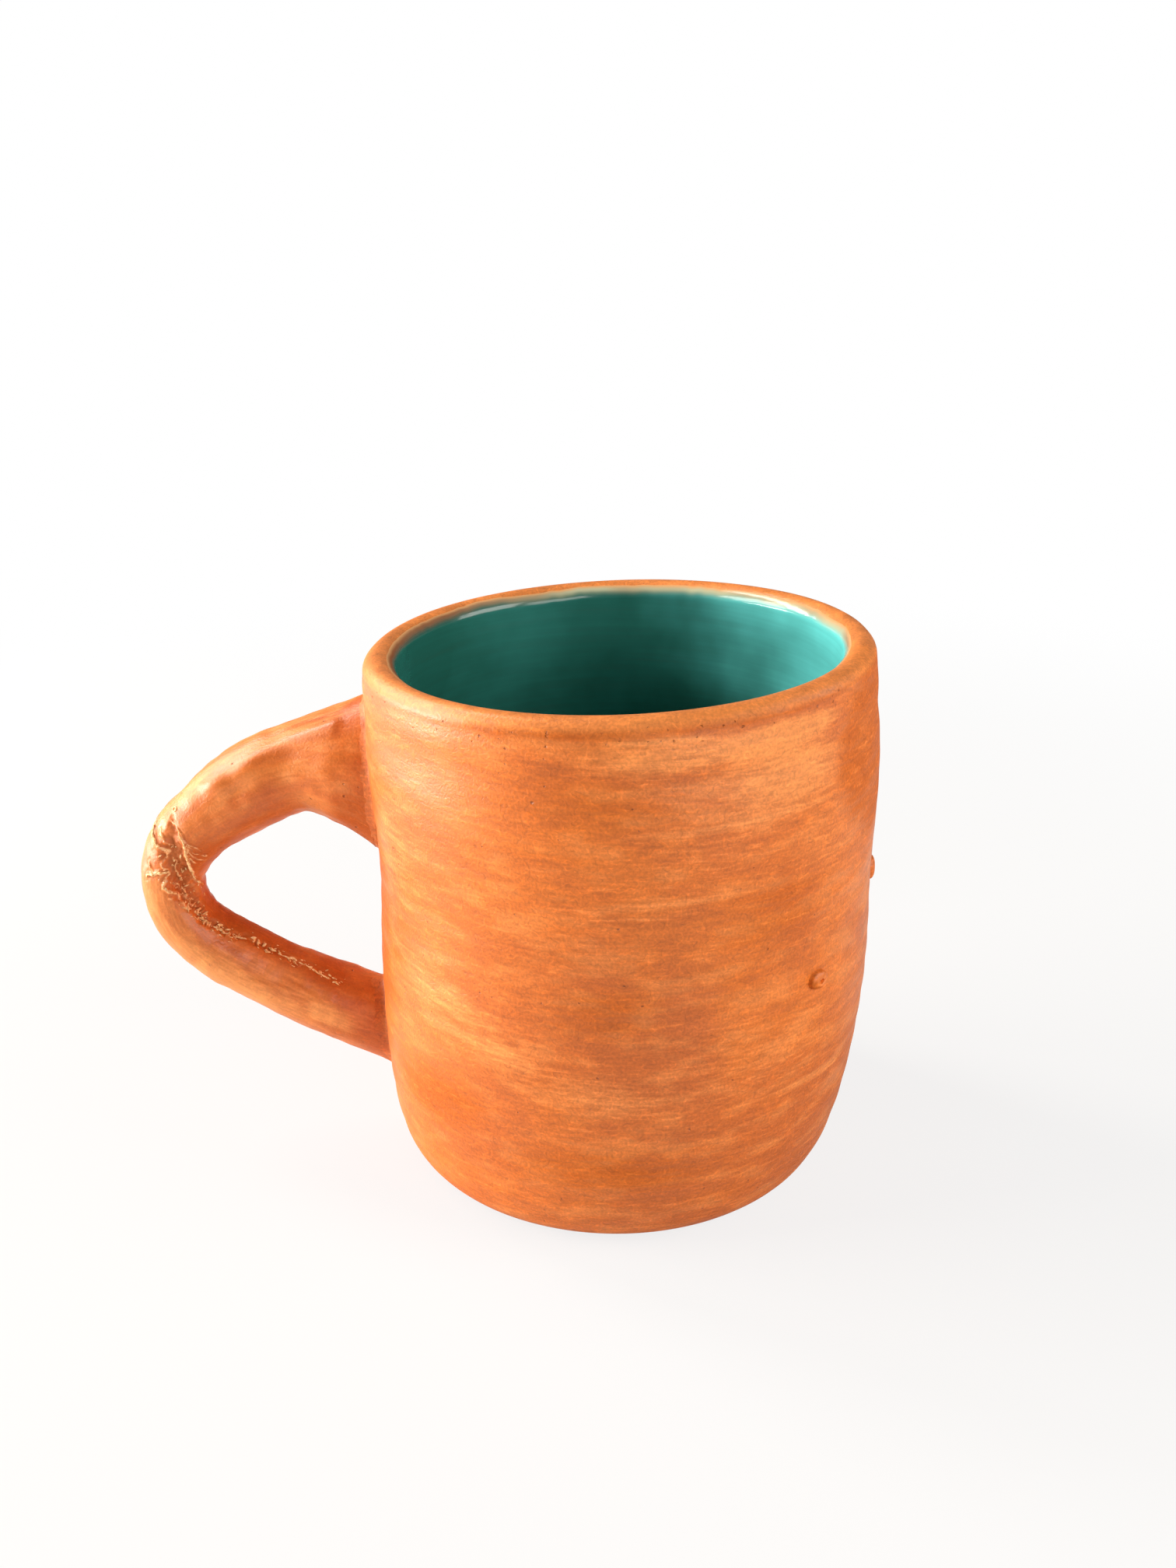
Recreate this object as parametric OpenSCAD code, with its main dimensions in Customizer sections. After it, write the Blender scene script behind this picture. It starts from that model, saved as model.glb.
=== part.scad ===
// Hand-thrown clay mug: a thrown pot with a tilted rim, a glaze lining fused inside it, and a rolled
// handle luted on with slip. Millimetres, +Z up, the origin in the middle of the foot and the handle
// towards -X. Each piece is a loft: rings of points joined by faces and closed at both ends.

/* [Pot] */
// Height of the pot at the middle of its rim
pot_h = 92.5; // [76:0.5:120]
// Outside diameter at the rim
rim_d = 84; // [70:0.5:104]
// Outside diameter at the belly, the widest place
belly_d = 85.3; // [70:0.1:106]
// Height of the belly above the foot
belly_z = 37; // [30:0.5:44]
// Diameter of the flat foot
foot_d = 60; // [46:0.5:68]
// Thickness of the rounded lip
lip_t = 5.1; // [3.6:0.1:6.5]
// Thickness of the wall at the belly
wall_t = 4.7; // [3.4:0.1:7]
// Thickness of the floor
floor_t = 6; // [4:0.1:9]
// Height of the rounded corner inside, above the floor
inner_heel_h = 19; // [12:0.5:26]

/* [Marks of the hand] */
// How much higher the rim is on the side away from the handle
rim_rise = 3.6; // [0:0.1:6]
// How far the belly leans off the axis, away from the handle
belly_lean = 1.6; // [0:0.1:3]
// How far the rim stands off the axis, away from the handle
rim_lean = 0.4; // [0:0.1:2]
// How far the rim is drawn out along the handle's line
rim_oval = 0.3; // [0:0.1:1.5]
// Depth of the slow wave that the fingers left in the wall
wall_wave = 0.5; // [0:0.05:0.8]
// Depth of the soft groove under the lip
lip_groove = 0.35; // [0:0.05:0.6]
// Drop from the rim to the middle of that groove
lip_groove_drop = 10; // [8:0.5:13]

/* [Glaze lining] */
// Thickness of the glaze
glaze_t = 0.45; // [0.3:0.05:0.8]
// Drop from the rim to the edge of the glaze
glaze_drop = 3; // [2.7:0.1:8]

/* [Handle] */
// How far the elbow's outside stands out from the belly
handle_reach = 41.8; // [34:0.2:50]
// Drop from the rim to the top of the upper root
upper_root_drop = 8.6; // [7:0.2:16]
// Height of the upper root where it flares on to the wall
upper_root_h = 28; // [22:0.2:34]
// Height of the lower root's middle above the foot
lower_root_z = 20.4; // [17:0.2:25]
// Height of the lower root
lower_root_h = 16.4; // [13:0.2:20]
// Thickness of the coil in the upper arm
upper_coil_d = 16; // [12:0.1:19]
// Thickness of the coil at the elbow
elbow_coil_d = 10.6; // [8.5:0.1:13]
// Width of the coil at the elbow, where the bend has flattened it
elbow_coil_w = 12; // [9:0.1:15]
// Thickness of the coil in the lower arm
lower_coil_d = 12.6; // [10:0.1:15.5]
// Depth of the torn crease at the elbow
crease_depth = 0.9; // [0:0.05:1.2]
// Width of the crease where it gapes, at the elbow
crease_w = 2.6; // [1.6:0.1:3.4]

/* [Slip joints] */
// Thickness of the slip between the wall and a root
slip_t = 0.6; // [0.3:0.05:1]
// How far the squeezed slip spreads past a root
slip_spread = 1; // [0.6:0.1:2.5]

/* [Clay pips] */
// Diameter of the front pip
front_pip_d = 3; // [2:0.1:5]
// How far the front pip stands out
front_pip_h = 0.8; // [0.5:0.1:1.4]
// Height of the front pip above the foot
front_pip_z = 45.6; // [35:0.2:60]
// Direction of the front pip, anticlockwise from +X
front_pip_angle = -46; // [-80:1:-20]
// Diameter of the pinhole in the front pip
pinhole_d = 0.9; // [0.5:0.1:1.2]
// Diameter of the side pip
side_pip_d = 4; // [2:0.1:6]
// How far the side pip stands out
side_pip_h = 1.1; // [0.5:0.1:1.6]
// Height of the side pip above the foot
side_pip_z = 51.7; // [40:0.2:60]
// Direction of the side pip, anticlockwise from +X
side_pip_angle = -3; // [-20:1:20]

/* [Hidden] */

// Steps of the lofts: points round the pot and the coil, and rings along each stretch
pot_points = 60;
coil_points = 36;
pip_points = 16;
heel_steps = 9;
wall_steps = 8;
lip_steps = 8;
inner_heel_steps = 7;
arm_steps = 26;
cap_steps = 4;
pip_steps = 3;

// Radii and heights that the pot's outline passes through
rim_r = rim_d / 2;
belly_r = belly_d / 2;
foot_r = foot_d / 2;
lip_z = pot_h - lip_t / 2;
cavity_r = belly_r - wall_t;
inner_heel_z = floor_t + inner_heel_h;
glaze_edge_z = pot_h - glaze_drop;
upper_root_z = pot_h - upper_root_drop - upper_root_h / 2;

// Control points of the heel's curve, outwards from the foot and upwards to the belly
heel_shares = [[0, 0], [0.74, 0], [0.75, 0.06], [1, 0.47], [1, 1]];
// Control points of the cavity's corner, from its wall to its flat floor
inner_heel_shares = [[1, 1], [1, 0.35], [0.86, 0], [0.4, 0]];

// Control points of the handle's two arms: share of the reach, and of the rise from elbow to root
upper_arm_shares = [[0, 1], [0.37, 1.3], [1, 0.51], [1, 0]];
lower_arm_shares = [[0, 1], [0.7, 0.58], [1, 0.43], [1, 0]];
// Share of the rise from the lower root to the upper one at which the elbow lies
elbow_share = 0.575;
// Share of each arm over which its root flares
flare_share = 0.3;
// Share of a root's height that its width has
root_width_share = 0.74;
// Angle of the crease round the coil, from the finger side to the front, along shares of the handle
crease_turn_shares = [[0.33, 140], [0.37, 108], [0.41, 78], [0.46, 56], [0.52, 44], [0.61, 41], [0.68, 37],
    [0.76, 29], [0.84, 24], [1, 24]];
// Depth of the crease along the same shares
crease_depth_shares = [[0.33, 0], [0.39, 0.8], [0.46, 1], [0.54, 1], [0.64, 0.6], [0.8, 0.4], [0.97, 0]];
// Share of its greatest width that the crease has: widest where the bend pulled it open
crease_width_shares = [[0.33, 0.6], [0.4, 1], [0.52, 1], [0.64, 0.65], [1, 0.6]];
// Share of its depth by which the crease's torn edges stand proud
crease_edge_share = 0.25;
// How steeply the crease's sides fall
crease_steepness = 4;
// How closely the points round the coil gather at the crease, from 0 for evenly to below 1
crease_crowding = 0.65;
// Powers that gather rings at a root and at the glaze's edge
root_crowding = 1.15;
glaze_crowding = 1.6;
// Power that sets how sharply a root flares
flare_power = 1.5;
// Share of the slip's spread, and of its rise up the root, at which its bead is fullest
bead_share = 0.4;
// Share of an arm over which the coil's direction is taken
aim_share = 0.01;
// Clearance that keeps a seated piece's flat facets from crossing the wall's
seat_gap = 0.06;

function mix(a, b, share) = a + (b - a) * share;

function reversed(list) = [for (i = [len(list) - 1 : -1 : 0]) list[i]];

// A point, or a number, of the Bezier curve through the ends of a list of controls
function bezier(controls, share) =
    len(controls) == 1
        ? controls[0]
        : bezier([for (i = [0 : len(controls) - 2]) mix(controls[i], controls[i + 1], share)], share);

// A share that starts and ends gently
function ease(share) = share * share * (3 - 2 * share);

// Angle from one direction to another by the shorter way, whichever way round that is
function turn_between(from, to) = let (turn = abs(to - from) % 360) min(turn, 360 - turn);

// The true pot's point, moved as the thrown pot is: rim tipped, belly leaning, rim drawn oval
function thrown(p) =
    let (
        share = p[2] / pot_h,
        lean = belly_lean * sin(180 * share) + rim_lean * share,
        tip = rim_rise / rim_d * pow(share, 3)
    )
    [
        p[0] * (1 + rim_oval / rim_d * share) + lean,
        p[1] * (1 - rim_oval / rim_d * share),
        p[2] + p[0] * tip
    ];

// Outside radius of the pot above its belly, a share of the way from there to the lip
function upper_wall_r(share) =
    let (
        z = mix(belly_z, lip_z, share),
        groove = max(0, 1 - abs(z - pot_h + lip_groove_drop) / lip_t)
    )
    mix(belly_r, rim_r, share * share)
        - wall_wave * sin(360 * share) * sin(180 * share)
        - lip_groove * ease(groove);

// Outline of the pot as [radius, height], from the foot over the lip to the floor
heel_line = [for (i = [0 : heel_steps])
    let (c = bezier(heel_shares, i / heel_steps))
    [mix(foot_r, belly_r, c[0]), belly_z * c[1]]];
wall_line = [for (i = [1 : wall_steps])
    [upper_wall_r(i / wall_steps), mix(belly_z, lip_z, i / wall_steps)]];
lip_line = [for (i = [1 : lip_steps - 1])
    let (a = 180 * i / lip_steps)
    [rim_r - lip_t / 2 * (1 - cos(a)), lip_z + lip_t / 2 * sin(a)]];
outside_line = concat(heel_line, wall_line);
cavity_line = concat(
    [for (i = [0 : wall_steps])
        let (share = pow(i / wall_steps, glaze_crowding))
        [mix(rim_r - lip_t, cavity_r, ease(share)), mix(glaze_edge_z, inner_heel_z, share)]],
    [for (i = [1 : inner_heel_steps])
        let (c = bezier(inner_heel_shares, i / inner_heel_steps))
        [cavity_r * c[0], floor_t + inner_heel_h * c[1]]]
);

// The wall's outside radius at any height, read off the outline
wall_table = [for (p = outside_line) [p[1], p[0]]];

function wall_r(z) = lookup(z, wall_table);

// A point that stands `out` from the wall: `arc` along its girth from an angle, at height z
function on_wall(angle, arc, z, out) =
    let (a = angle + arc / wall_r(z) * 180 / PI)
    [(wall_r(z) + out) * cos(a), (wall_r(z) + out) * sin(a), z];

// Closed solid through a list of rings, each with as many points, closed by a point at each end.
// A seated piece splits its faces the other way, so that they match those of the piece under it.
module loft(start, rings, end, seated = false) {
    n = len(rings[0]);
    last = len(rings) * n + 1;
    points = concat([start], [for (ring = rings) each ring], [end]);
    faces = concat(
        [for (i = [0 : n - 1]) [0, 1 + i, 1 + (i + 1) % n]],
        [for (k = [0 : len(rings) - 2], i = [0 : n - 1])
            let (
                a = 1 + k * n + i,
                b = 1 + k * n + (i + 1) % n
            )
            each seated
                ? [[a, a + n, b + n], [a, b + n, b]]
                : [[a, a + n, b], [b, a + n, b + n]]],
        [for (i = [0 : n - 1]) [last, last - n + (i + 1) % n, last - n + i]]
    );
    polyhedron([for (p = points) thrown(p)], faces);
}

// An outline of [radius, height] points turned round the axis, with both its ends on the axis
module turned(outline, seated = false) {
    loft(
        [0, 0, outline[0][1]],
        [for (p = outline)
            [for (i = [0 : pot_points - 1])
                let (a = 360 * i / pot_points)
                [p[0] * cos(a), p[0] * sin(a), p[1]]]],
        [0, 0, outline[len(outline) - 1][1]],
        seated
    );
}

// The thrown pot, in one wall from the foot over the lip to the floor inside
module clay_body() {
    color("#d9763a") turned(concat(outside_line, lip_line, [[rim_r - lip_t, lip_z]], cavity_line));
}

// The glass coat that is fused to the cavity, thinning out at its upper edge
module glaze_lining() {
    steps = len(cavity_line) - 1;
    // The coat is at its full thickness by its second ring, and lies flat on the floor
    inside_line = [for (i = [1 : steps])
        let (
            before = cavity_line[i - 1],
            here = cavity_line[i],
            after = i == steps ? [0, floor_t] : cavity_line[i + 1],
            along = (after - before) / norm(after - before)
        )
        here + glaze_t * [along[1], -along[0]]];
    color("#1f8a80") turned(concat(reversed(cavity_line), inside_line), seated = true);
}

// Everything that one arm's rings need: its root's height, its curve, and its coil's sizes
upper_arm = [upper_root_z, upper_arm_shares, upper_coil_d, upper_root_h];
lower_arm = [lower_root_z, lower_arm_shares, lower_coil_d, lower_root_h];

// Distance from the axis to the coil's middle at the elbow, and its height
elbow_x = belly_r + handle_reach - elbow_coil_d / 2;
elbow_z = mix(lower_root_z, upper_root_z, elbow_share);

// Middle of the coil, a share of the way from an arm's root to the elbow, as [distance out, height]
function arm_middle(arm, share) =
    let (
        root_x = wall_r(arm[0]) + slip_t,
        c = bezier(arm[1], share)
    )
    [mix(root_x, elbow_x, c[0]), mix(elbow_z, arm[0], c[1])];

// How far a ring of an arm still follows the wall, from 1 on the root to 0 past the flare
function root_hold(share) = 1 - ease(min(share / flare_share, 1));

// Half height and half width of the coil at a share of an arm
function coil_half(arm, share) =
    let (
        flare = pow(max(1 - share / flare_share, 0), flare_power),
        bend = ease(max((share - flare_share) / (1 - flare_share), 0)),
        tall = mix(arm[2], elbow_coil_d, bend),
        wide = mix(arm[2], elbow_coil_w, bend)
    )
    [mix(tall, arm[3], flare) / 2, mix(wide, arm[3] * root_width_share, flare) / 2];

// Place of a ring on the whole handle, from 0 on the upper root to 1 on the lower root
function place(arm, share) = arm == upper_arm ? share / 2 : 1 - share / 2;

function crease_angle(arm, share) = lookup(place(arm, share), crease_turn_shares);

// Angle round the coil of each point of a ring, from the finger side to the front
function coil_angle(arm, share, i) =
    let (even = 360 * i / coil_points)
    even - crease_crowding * 180 / PI * sin(even - crease_angle(arm, share));

// How far a point of the coil is drawn in at the crease, or pushed out along its torn edges
function crease_in(arm, share, i) =
    let (
        turn = turn_between(crease_angle(arm, share), coil_angle(arm, share, i)),
        width = crease_w * lookup(place(arm, share), crease_width_shares),
        across = turn * PI / 180 * arm[2] / width,
        depth = crease_depth * lookup(place(arm, share), crease_depth_shares),
        trough = exp(-crease_steepness * across * across),
        edge = exp(-crease_steepness * pow(across - 1, 2))
    )
    depth * (trough - crease_edge_share * edge);

// One ring of an arm, scaled about its middle for the rings that close a root
function arm_ring(arm, share, scale = 1) =
    let (
        middle = arm_middle(arm, share),
        ahead = arm_middle(arm, min(share + aim_share, 1)),
        behind = arm_middle(arm, max(share - aim_share, 0)),
        along = (ahead - behind) / norm(ahead - behind),
        side = arm == upper_arm ? 1 : -1,
        half = coil_half(arm, share),
        hold = root_hold(share)
    )
    [for (i = [0 : coil_points - 1])
        let (
            a = coil_angle(arm, share, i),
            in = crease_in(arm, share, i),
            rise = -side * cos(a) * (half[0] - in) * scale,
            front = sin(a) * (half[1] - in) * scale,
            square_on = [
                -(middle[0] - rise * along[1]),
                -front,
                middle[1] + rise * along[0]
            ],
            on_root = on_wall(180, front, middle[1] + rise, middle[0] - wall_r(arm[0]))
        )
        mix(square_on, on_root, hold)];

// Shares of an arm at its rings, from the root to the elbow
function arm_share(i) = pow(i / arm_steps, root_crowding);

// Rings that close a root against its slip, from the middle out
function cap_rings(arm) = [for (k = [1 : cap_steps - 1]) arm_ring(arm, 0, k / cap_steps)];

function cap_middle(arm) = on_wall(180, 0, arm[0], slip_t);

// The rolled coil, from the flared upper root round the torn elbow to the lower root
module handle() {
    color("#cf6f38") loft(
        cap_middle(upper_arm),
        concat(
            cap_rings(upper_arm),
            [for (i = [0 : arm_steps]) arm_ring(upper_arm, arm_share(i))],
            [for (i = [arm_steps - 1 : -1 : 0]) arm_ring(lower_arm, arm_share(i))],
            reversed(cap_rings(lower_arm))
        ),
        cap_middle(lower_arm)
    );
}

// One ring of a slip pad on the wall, as wide as the root and spread past it
function pad_ring(arm, scale, spread, out) =
    [for (i = [0 : coil_points - 1])
        let (
            half = coil_half(arm, 0),
            side = arm == upper_arm ? 1 : -1,
            a = coil_angle(arm, 0, i),
            z = arm[0] - side * cos(a) * (half[0] * scale + spread)
        )
        on_wall(180, sin(a) * (half[1] * scale + spread), z, out)];

// The slip that lutes one root to the wall, with the bead that was squeezed out round it
module slip_joint(arm) {
    bead_out = mix(slip_t, arm_middle(arm, arm_share(1))[0] - wall_r(arm[0]), bead_share);
    wall_middle = on_wall(180, 0, arm[0], seat_gap);
    rings = concat(
        [for (k = [1 : cap_steps])
            pad_ring(arm, k / cap_steps, slip_spread * k / cap_steps, seat_gap)],
        [pad_ring(arm, 1, slip_spread * bead_share, bead_out)],
        [arm_ring(arm, arm_share(1)), arm_ring(arm, 0)],
        reversed(cap_rings(arm))
    );
    // The lower arm's rings run the other way round, so its loft starts at the other end
    color("#b9602f")
        if (arm == upper_arm) loft(wall_middle, rings, cap_middle(arm), seated = true);
        else loft(cap_middle(arm), reversed(rings), wall_middle, seated = true);
}

module upper_slip_joint() {
    slip_joint(upper_arm);
}

module lower_slip_joint() {
    slip_joint(lower_arm);
}

// One ring of a pip on the wall
function pip_ring(angle, z, radius, out) =
    [for (i = [0 : pip_points - 1])
        let (a = 360 * i / pip_points)
        on_wall(angle, radius * cos(a), z + radius * sin(a), out)];

// A pip of clay stuck to the wall, with a pinhole in its top where hole_r isn't 0
module pip(angle, z, pip_r, pip_h, hole_r) {
    base = [for (k = [1 : pip_steps]) pip_ring(angle, z, pip_r * k / pip_steps, seat_gap)];
    dome = [for (k = [1 : pip_steps])
        let (a = 90 * k / (pip_steps + 1))
        pip_ring(angle, z, max(pip_r * cos(a), hole_r), pip_h * sin(a))];
    rim_of_hole = [pip_ring(angle, z, hole_r, pip_h), pip_ring(angle, z, hole_r, pip_h / 2)];
    color("#c8662f") loft(
        on_wall(angle, 0, z, seat_gap),
        concat(base, dome, hole_r > 0 ? rim_of_hole : []),
        on_wall(angle, 0, z, hole_r > 0 ? pip_h / 2 : pip_h)
    );
}

module front_pip() {
    pip(front_pip_angle, front_pip_z, front_pip_d / 2, front_pip_h, pinhole_d / 2);
}

module side_pip() {
    pip(side_pip_angle, side_pip_z, side_pip_d / 2, side_pip_h, 0);
}

clay_body();
glaze_lining();
handle();
upper_slip_joint();
lower_slip_joint();
front_pip();
side_pip();
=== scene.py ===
# A hand-thrown clay mug: burnished terracotta with a brushed wash, a turquoise glaze inside,
# and a rolled handle that tore along a crease when it was bent. Sizes are in millimetres.
import math
from functools import partial

import bmesh
import bpy
import numpy as np
from mathutils import Matrix, Vector


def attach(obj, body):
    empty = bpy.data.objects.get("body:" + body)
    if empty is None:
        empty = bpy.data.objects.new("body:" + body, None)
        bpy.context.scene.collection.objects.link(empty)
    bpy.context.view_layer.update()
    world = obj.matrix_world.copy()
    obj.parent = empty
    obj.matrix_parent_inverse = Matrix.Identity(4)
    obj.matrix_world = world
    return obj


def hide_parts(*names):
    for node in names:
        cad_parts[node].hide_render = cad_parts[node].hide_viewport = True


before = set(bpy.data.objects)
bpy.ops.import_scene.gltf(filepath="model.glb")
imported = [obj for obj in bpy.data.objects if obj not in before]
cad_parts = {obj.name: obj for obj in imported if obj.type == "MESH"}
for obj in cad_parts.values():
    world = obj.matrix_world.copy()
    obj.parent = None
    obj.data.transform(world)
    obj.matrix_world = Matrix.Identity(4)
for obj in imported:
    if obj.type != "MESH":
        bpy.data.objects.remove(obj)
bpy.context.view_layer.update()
print("frame loaded:", sorted(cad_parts))

metresPerMm = 0.001
circle = 2 * math.pi


def linear(hexColour):  # an sRGB hex colour as the linear one that sockets take
    parts = [int(hexColour[i:i + 2], 16) / 255 for i in (1, 3, 5)]
    return tuple(c / 12.92 if c <= 0.04045 else ((c + 0.055) / 1.055) ** 2.4 for c in parts) + (1.0,)


def addNode(tree, kind, sockets=(), **settings):  # a node with its settings, values and links
    made = tree.nodes.new("ShaderNode" + kind)
    for name, value in settings.items():
        setattr(made, name, value)
    for socket, value in sockets.items() if isinstance(sockets, dict) else enumerate(sockets):
        if isinstance(value, bpy.types.Node):
            value = next(output for output in value.outputs if output.enabled)
        if isinstance(value, bpy.types.NodeSocket):
            tree.links.new(value, made.inputs[socket])
        else:
            made.inputs[socket].default_value = linear(value) if isinstance(value, str) else value
    return made


def emptyTree(owner):  # clears a material's or the world's nodes, and gives what adds new ones
    owner.use_nodes = True
    owner.node_tree.nodes.clear()
    return partial(addNode, owner.node_tree)


def newMaterial(name):
    material = bpy.data.materials.new(name)
    return material, emptyTree(material)


smooth = {"interpolation_type": "SMOOTHSTEP"}  # settings for a Map Range that starts and ends gently
ofColours = {"data_type": "RGBA"}  # settings for a Mix of the colours in its sockets 6 and 7
white = (1, 1, 1, 1)


# The camera, at the photograph's viewing angle
camera = {
    "position": (-4.575, -229.005, 158.038),
    "pitchDown": 21.7814,  # degrees
    "focalPixels": 1850.0,  # for a picture 1512 wide
    "pictureWidth": 1512.0,
    "sensorWidth": 36.0,
}
cameraData = bpy.data.cameras.new("photoCamera")
cameraData.sensor_fit = "HORIZONTAL"
cameraData.sensor_width = camera["sensorWidth"]
cameraData.lens = camera["sensorWidth"] * camera["focalPixels"] / camera["pictureWidth"]
cameraData.clip_start = 0.01
cameraData.clip_end = 50
cameraObject = bpy.data.objects.new("photoCamera", cameraData)
cameraObject.location = Vector(camera["position"]) * metresPerMm
cameraObject.rotation_euler = (math.radians(90 - camera["pitchDown"]), 0, 0)
bpy.context.scene.collection.objects.link(cameraObject)
bpy.context.scene.camera = cameraObject
print("camera placed")

# The studio: a low window and a tall one on the left, a narrow one behind them and two weaker fills
studio = {
    "ambient": 0.16,  # strength of the world's light
    "lampDistance": 750, "aim": (0, 0, 50), "lampsRise": 60, "lowestLamp": 68,
    # degrees round the mug and up, width and height, watts, colour
    "lamps": {
        "window": (179, 0.6, (440, 132), 7.7, "#fff8ee"),
        "windowTop": (183, 26, (470, 330), 4.8, "#fff8ee"),
        "backWindow": (150, 36, (170, 640), 4.4, "#fffaf4"),
        "frontFill": (304, 15, (450, 400), 2.55, "#fffaf4"),
        "sideFill": (347, 24, (400, 400), 3.2, "#fffaf4"),
    },
    "floorColour": "#d4d2cf", "floorRadius": 3000, "floorSides": 96,
    # share of plain white in what the camera sees of the floor, near the mug and far from it
    "floorLift": (0.8, 1.0), "liftFrom": 110, "liftTo": 420,
}
world = bpy.data.worlds.new("studioWorld")
bpy.context.scene.world = world
add = emptyTree(world)
rays = add("LightPath").outputs
seen = add("Math", [rays["Is Camera Ray"], rays["Is Transmission Ray"]], operation="MAXIMUM")
strength = add("MapRange", [seen, 0, 1, studio["ambient"], 1])
background = add("Background", {"Color": white, "Strength": strength})
add("OutputWorld", {"Surface": background})

for name, (around, up, size, watts, colour) in studio["lamps"].items():
    lightData = bpy.data.lights.new(name, "AREA")
    lightData.shape = "RECTANGLE"
    lightData.size, lightData.size_y = [s * metresPerMm for s in size]
    lightData.energy = watts
    lightData.color = linear(colour)[:3]
    light = bpy.data.objects.new(name, lightData)
    a, b = math.radians(around), math.radians(up)
    away = Vector((math.cos(b) * math.cos(a), math.cos(b) * math.sin(a), math.sin(b)))
    place = away * studio["lampDistance"]
    place.z = max(place.z + studio["lampsRise"], studio["lowestLamp"])
    light.location = place * metresPerMm
    light.rotation_euler = (Vector(studio["aim"]) - place).to_track_quat("-Z", "Y").to_euler()
    bpy.context.scene.collection.objects.link(light)

bpy.ops.mesh.primitive_circle_add(
    vertices=studio["floorSides"], radius=studio["floorRadius"] * metresPerMm, fill_type="NGON")
floor = bpy.context.object
floor.name = "studioFloor"
floorMaterial, add = newMaterial("whiteStudioFloor")
far = add("VectorMath", [add("TexCoord").outputs["Object"]], operation="LENGTH")
liftEnds = [studio[key] * metresPerMm for key in ("liftFrom", "liftTo")]
lift = add("MapRange", [far, *liftEnds, *studio["floorLift"]], **smooth)
lift = add("Math", [add("LightPath").outputs["Is Camera Ray"], lift], operation="MULTIPLY")
paint = add("BsdfDiffuse", {"Color": studio["floorColour"]})
glow = add("Emission", {"Color": white, "Strength": 1.0})
add("OutputMaterial", {"Surface": add("MixShader", [lift, paint, glow])})
floor.data.materials.append(floorMaterial)
bpy.context.scene.view_settings.view_transform = "Standard"
print("studio ready")


# Shapes shared by the pieces
def mix(a, b, share):
    return a + (b - a) * share


def ease(share):
    share = np.clip(share, 0, 1)
    return share * share * (3 - 2 * share)


def bezier(controls, shares):  # points of the curve through a list of controls
    points = [np.multiply.outer(np.ones_like(shares), np.array(c, float)) for c in controls]
    while len(points) > 1:
        points = [mix(a, b, shares[:, None]) for a, b in zip(points, points[1:])]
    return points[0]


def lumps(points, size, seed, waves=40):  # smooth relief of about -1 to 1, with lumps about `size` apart
    chance = np.random.default_rng(seed)
    ways = chance.normal(size=(waves, 3))
    ways *= (circle / size * chance.uniform(0.5, 1.4, waves) / np.linalg.norm(ways, axis=1))[:, None]
    total = np.zeros(points.shape[:-1])
    for way, phase in zip(ways, chance.uniform(0, circle, waves)):
        total += np.sin(points @ way + phase)
    return total / math.sqrt(2 * waves)


def lengthAlong(line):  # how far along a line each of its points is
    return np.concatenate([[0], np.cumsum(np.linalg.norm(np.diff(line, axis=0), axis=1))])


def resample(line, spacing):  # a line's points, evenly spaced along it
    length = lengthAlong(line)
    at = np.linspace(0, length[-1], max(2, round(length[-1] / spacing) + 1))
    return np.stack([np.interp(at, length, line[:, i]) for i in range(line.shape[1])], axis=1)


def apart(a, b):  # from angle b to angle a, the short way
    return (a - b + math.pi) % circle - math.pi


def ringFaces(count, around, first):  # quads between rings of points
    i = np.arange(around)
    k = np.arange(count - 1)[:, None] * around + first
    after = (i + 1) % around
    return np.stack([k + i, k + after, k + around + after, k + around + i], axis=-1).reshape(-1, 4)


def meshPiece(name, points, faces):
    mesh = bpy.data.meshes.new(name)
    mesh.from_pydata((points * metresPerMm).tolist(), [], faces)
    mesh.update()
    piece = bpy.data.objects.new(name, mesh)
    bpy.context.scene.collection.objects.link(piece)
    return piece


def turnOutwards(piece):
    work = bmesh.new()
    work.from_mesh(piece.data)
    bmesh.ops.recalc_face_normals(work, faces=work.faces)
    work.to_mesh(piece.data)
    work.free()
    piece.data.shade_smooth()


def loftPiece(name, start, rings, end, attributes=None):  # a closed mesh through rings of points
    count, around = rings.shape[:2]
    points = np.concatenate([[start], rings.reshape(-1, 3), [end]])
    last = len(points) - 1
    i = np.arange(around)
    after = (i + 1) % around
    faces = [(0, int(b), int(a)) for a, b in zip(1 + i, 1 + after)]
    faces += ringFaces(count, around, 1).tolist()
    faces += [(last, int(a), int(b)) for a, b in zip(last - around + i, last - around + after)]
    piece = meshPiece(name, points, faces)
    for key, values in (attributes or {}).items():  # one value for each ring point
        kind = "FLOAT" if values.ndim == 2 else "FLOAT_VECTOR"
        flat = values.reshape(count * around, -1)
        full = np.concatenate([flat[:around].mean(0)[None], flat, flat[-around:].mean(0)[None]])
        field = piece.data.attributes.new(key, kind, "POINT")
        field.data.foreach_set("value" if values.ndim == 2 else "vector", full.astype(np.float32).ravel())
    turnOutwards(piece)
    return piece


def finishPiece(piece, material, slot, *nodes):
    piece.data.materials.append(material)
    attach(piece, "root")
    if nodes:
        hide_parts(*nodes)
    print("piece:", piece.name, len(piece.data.polygons), "faces")


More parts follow.
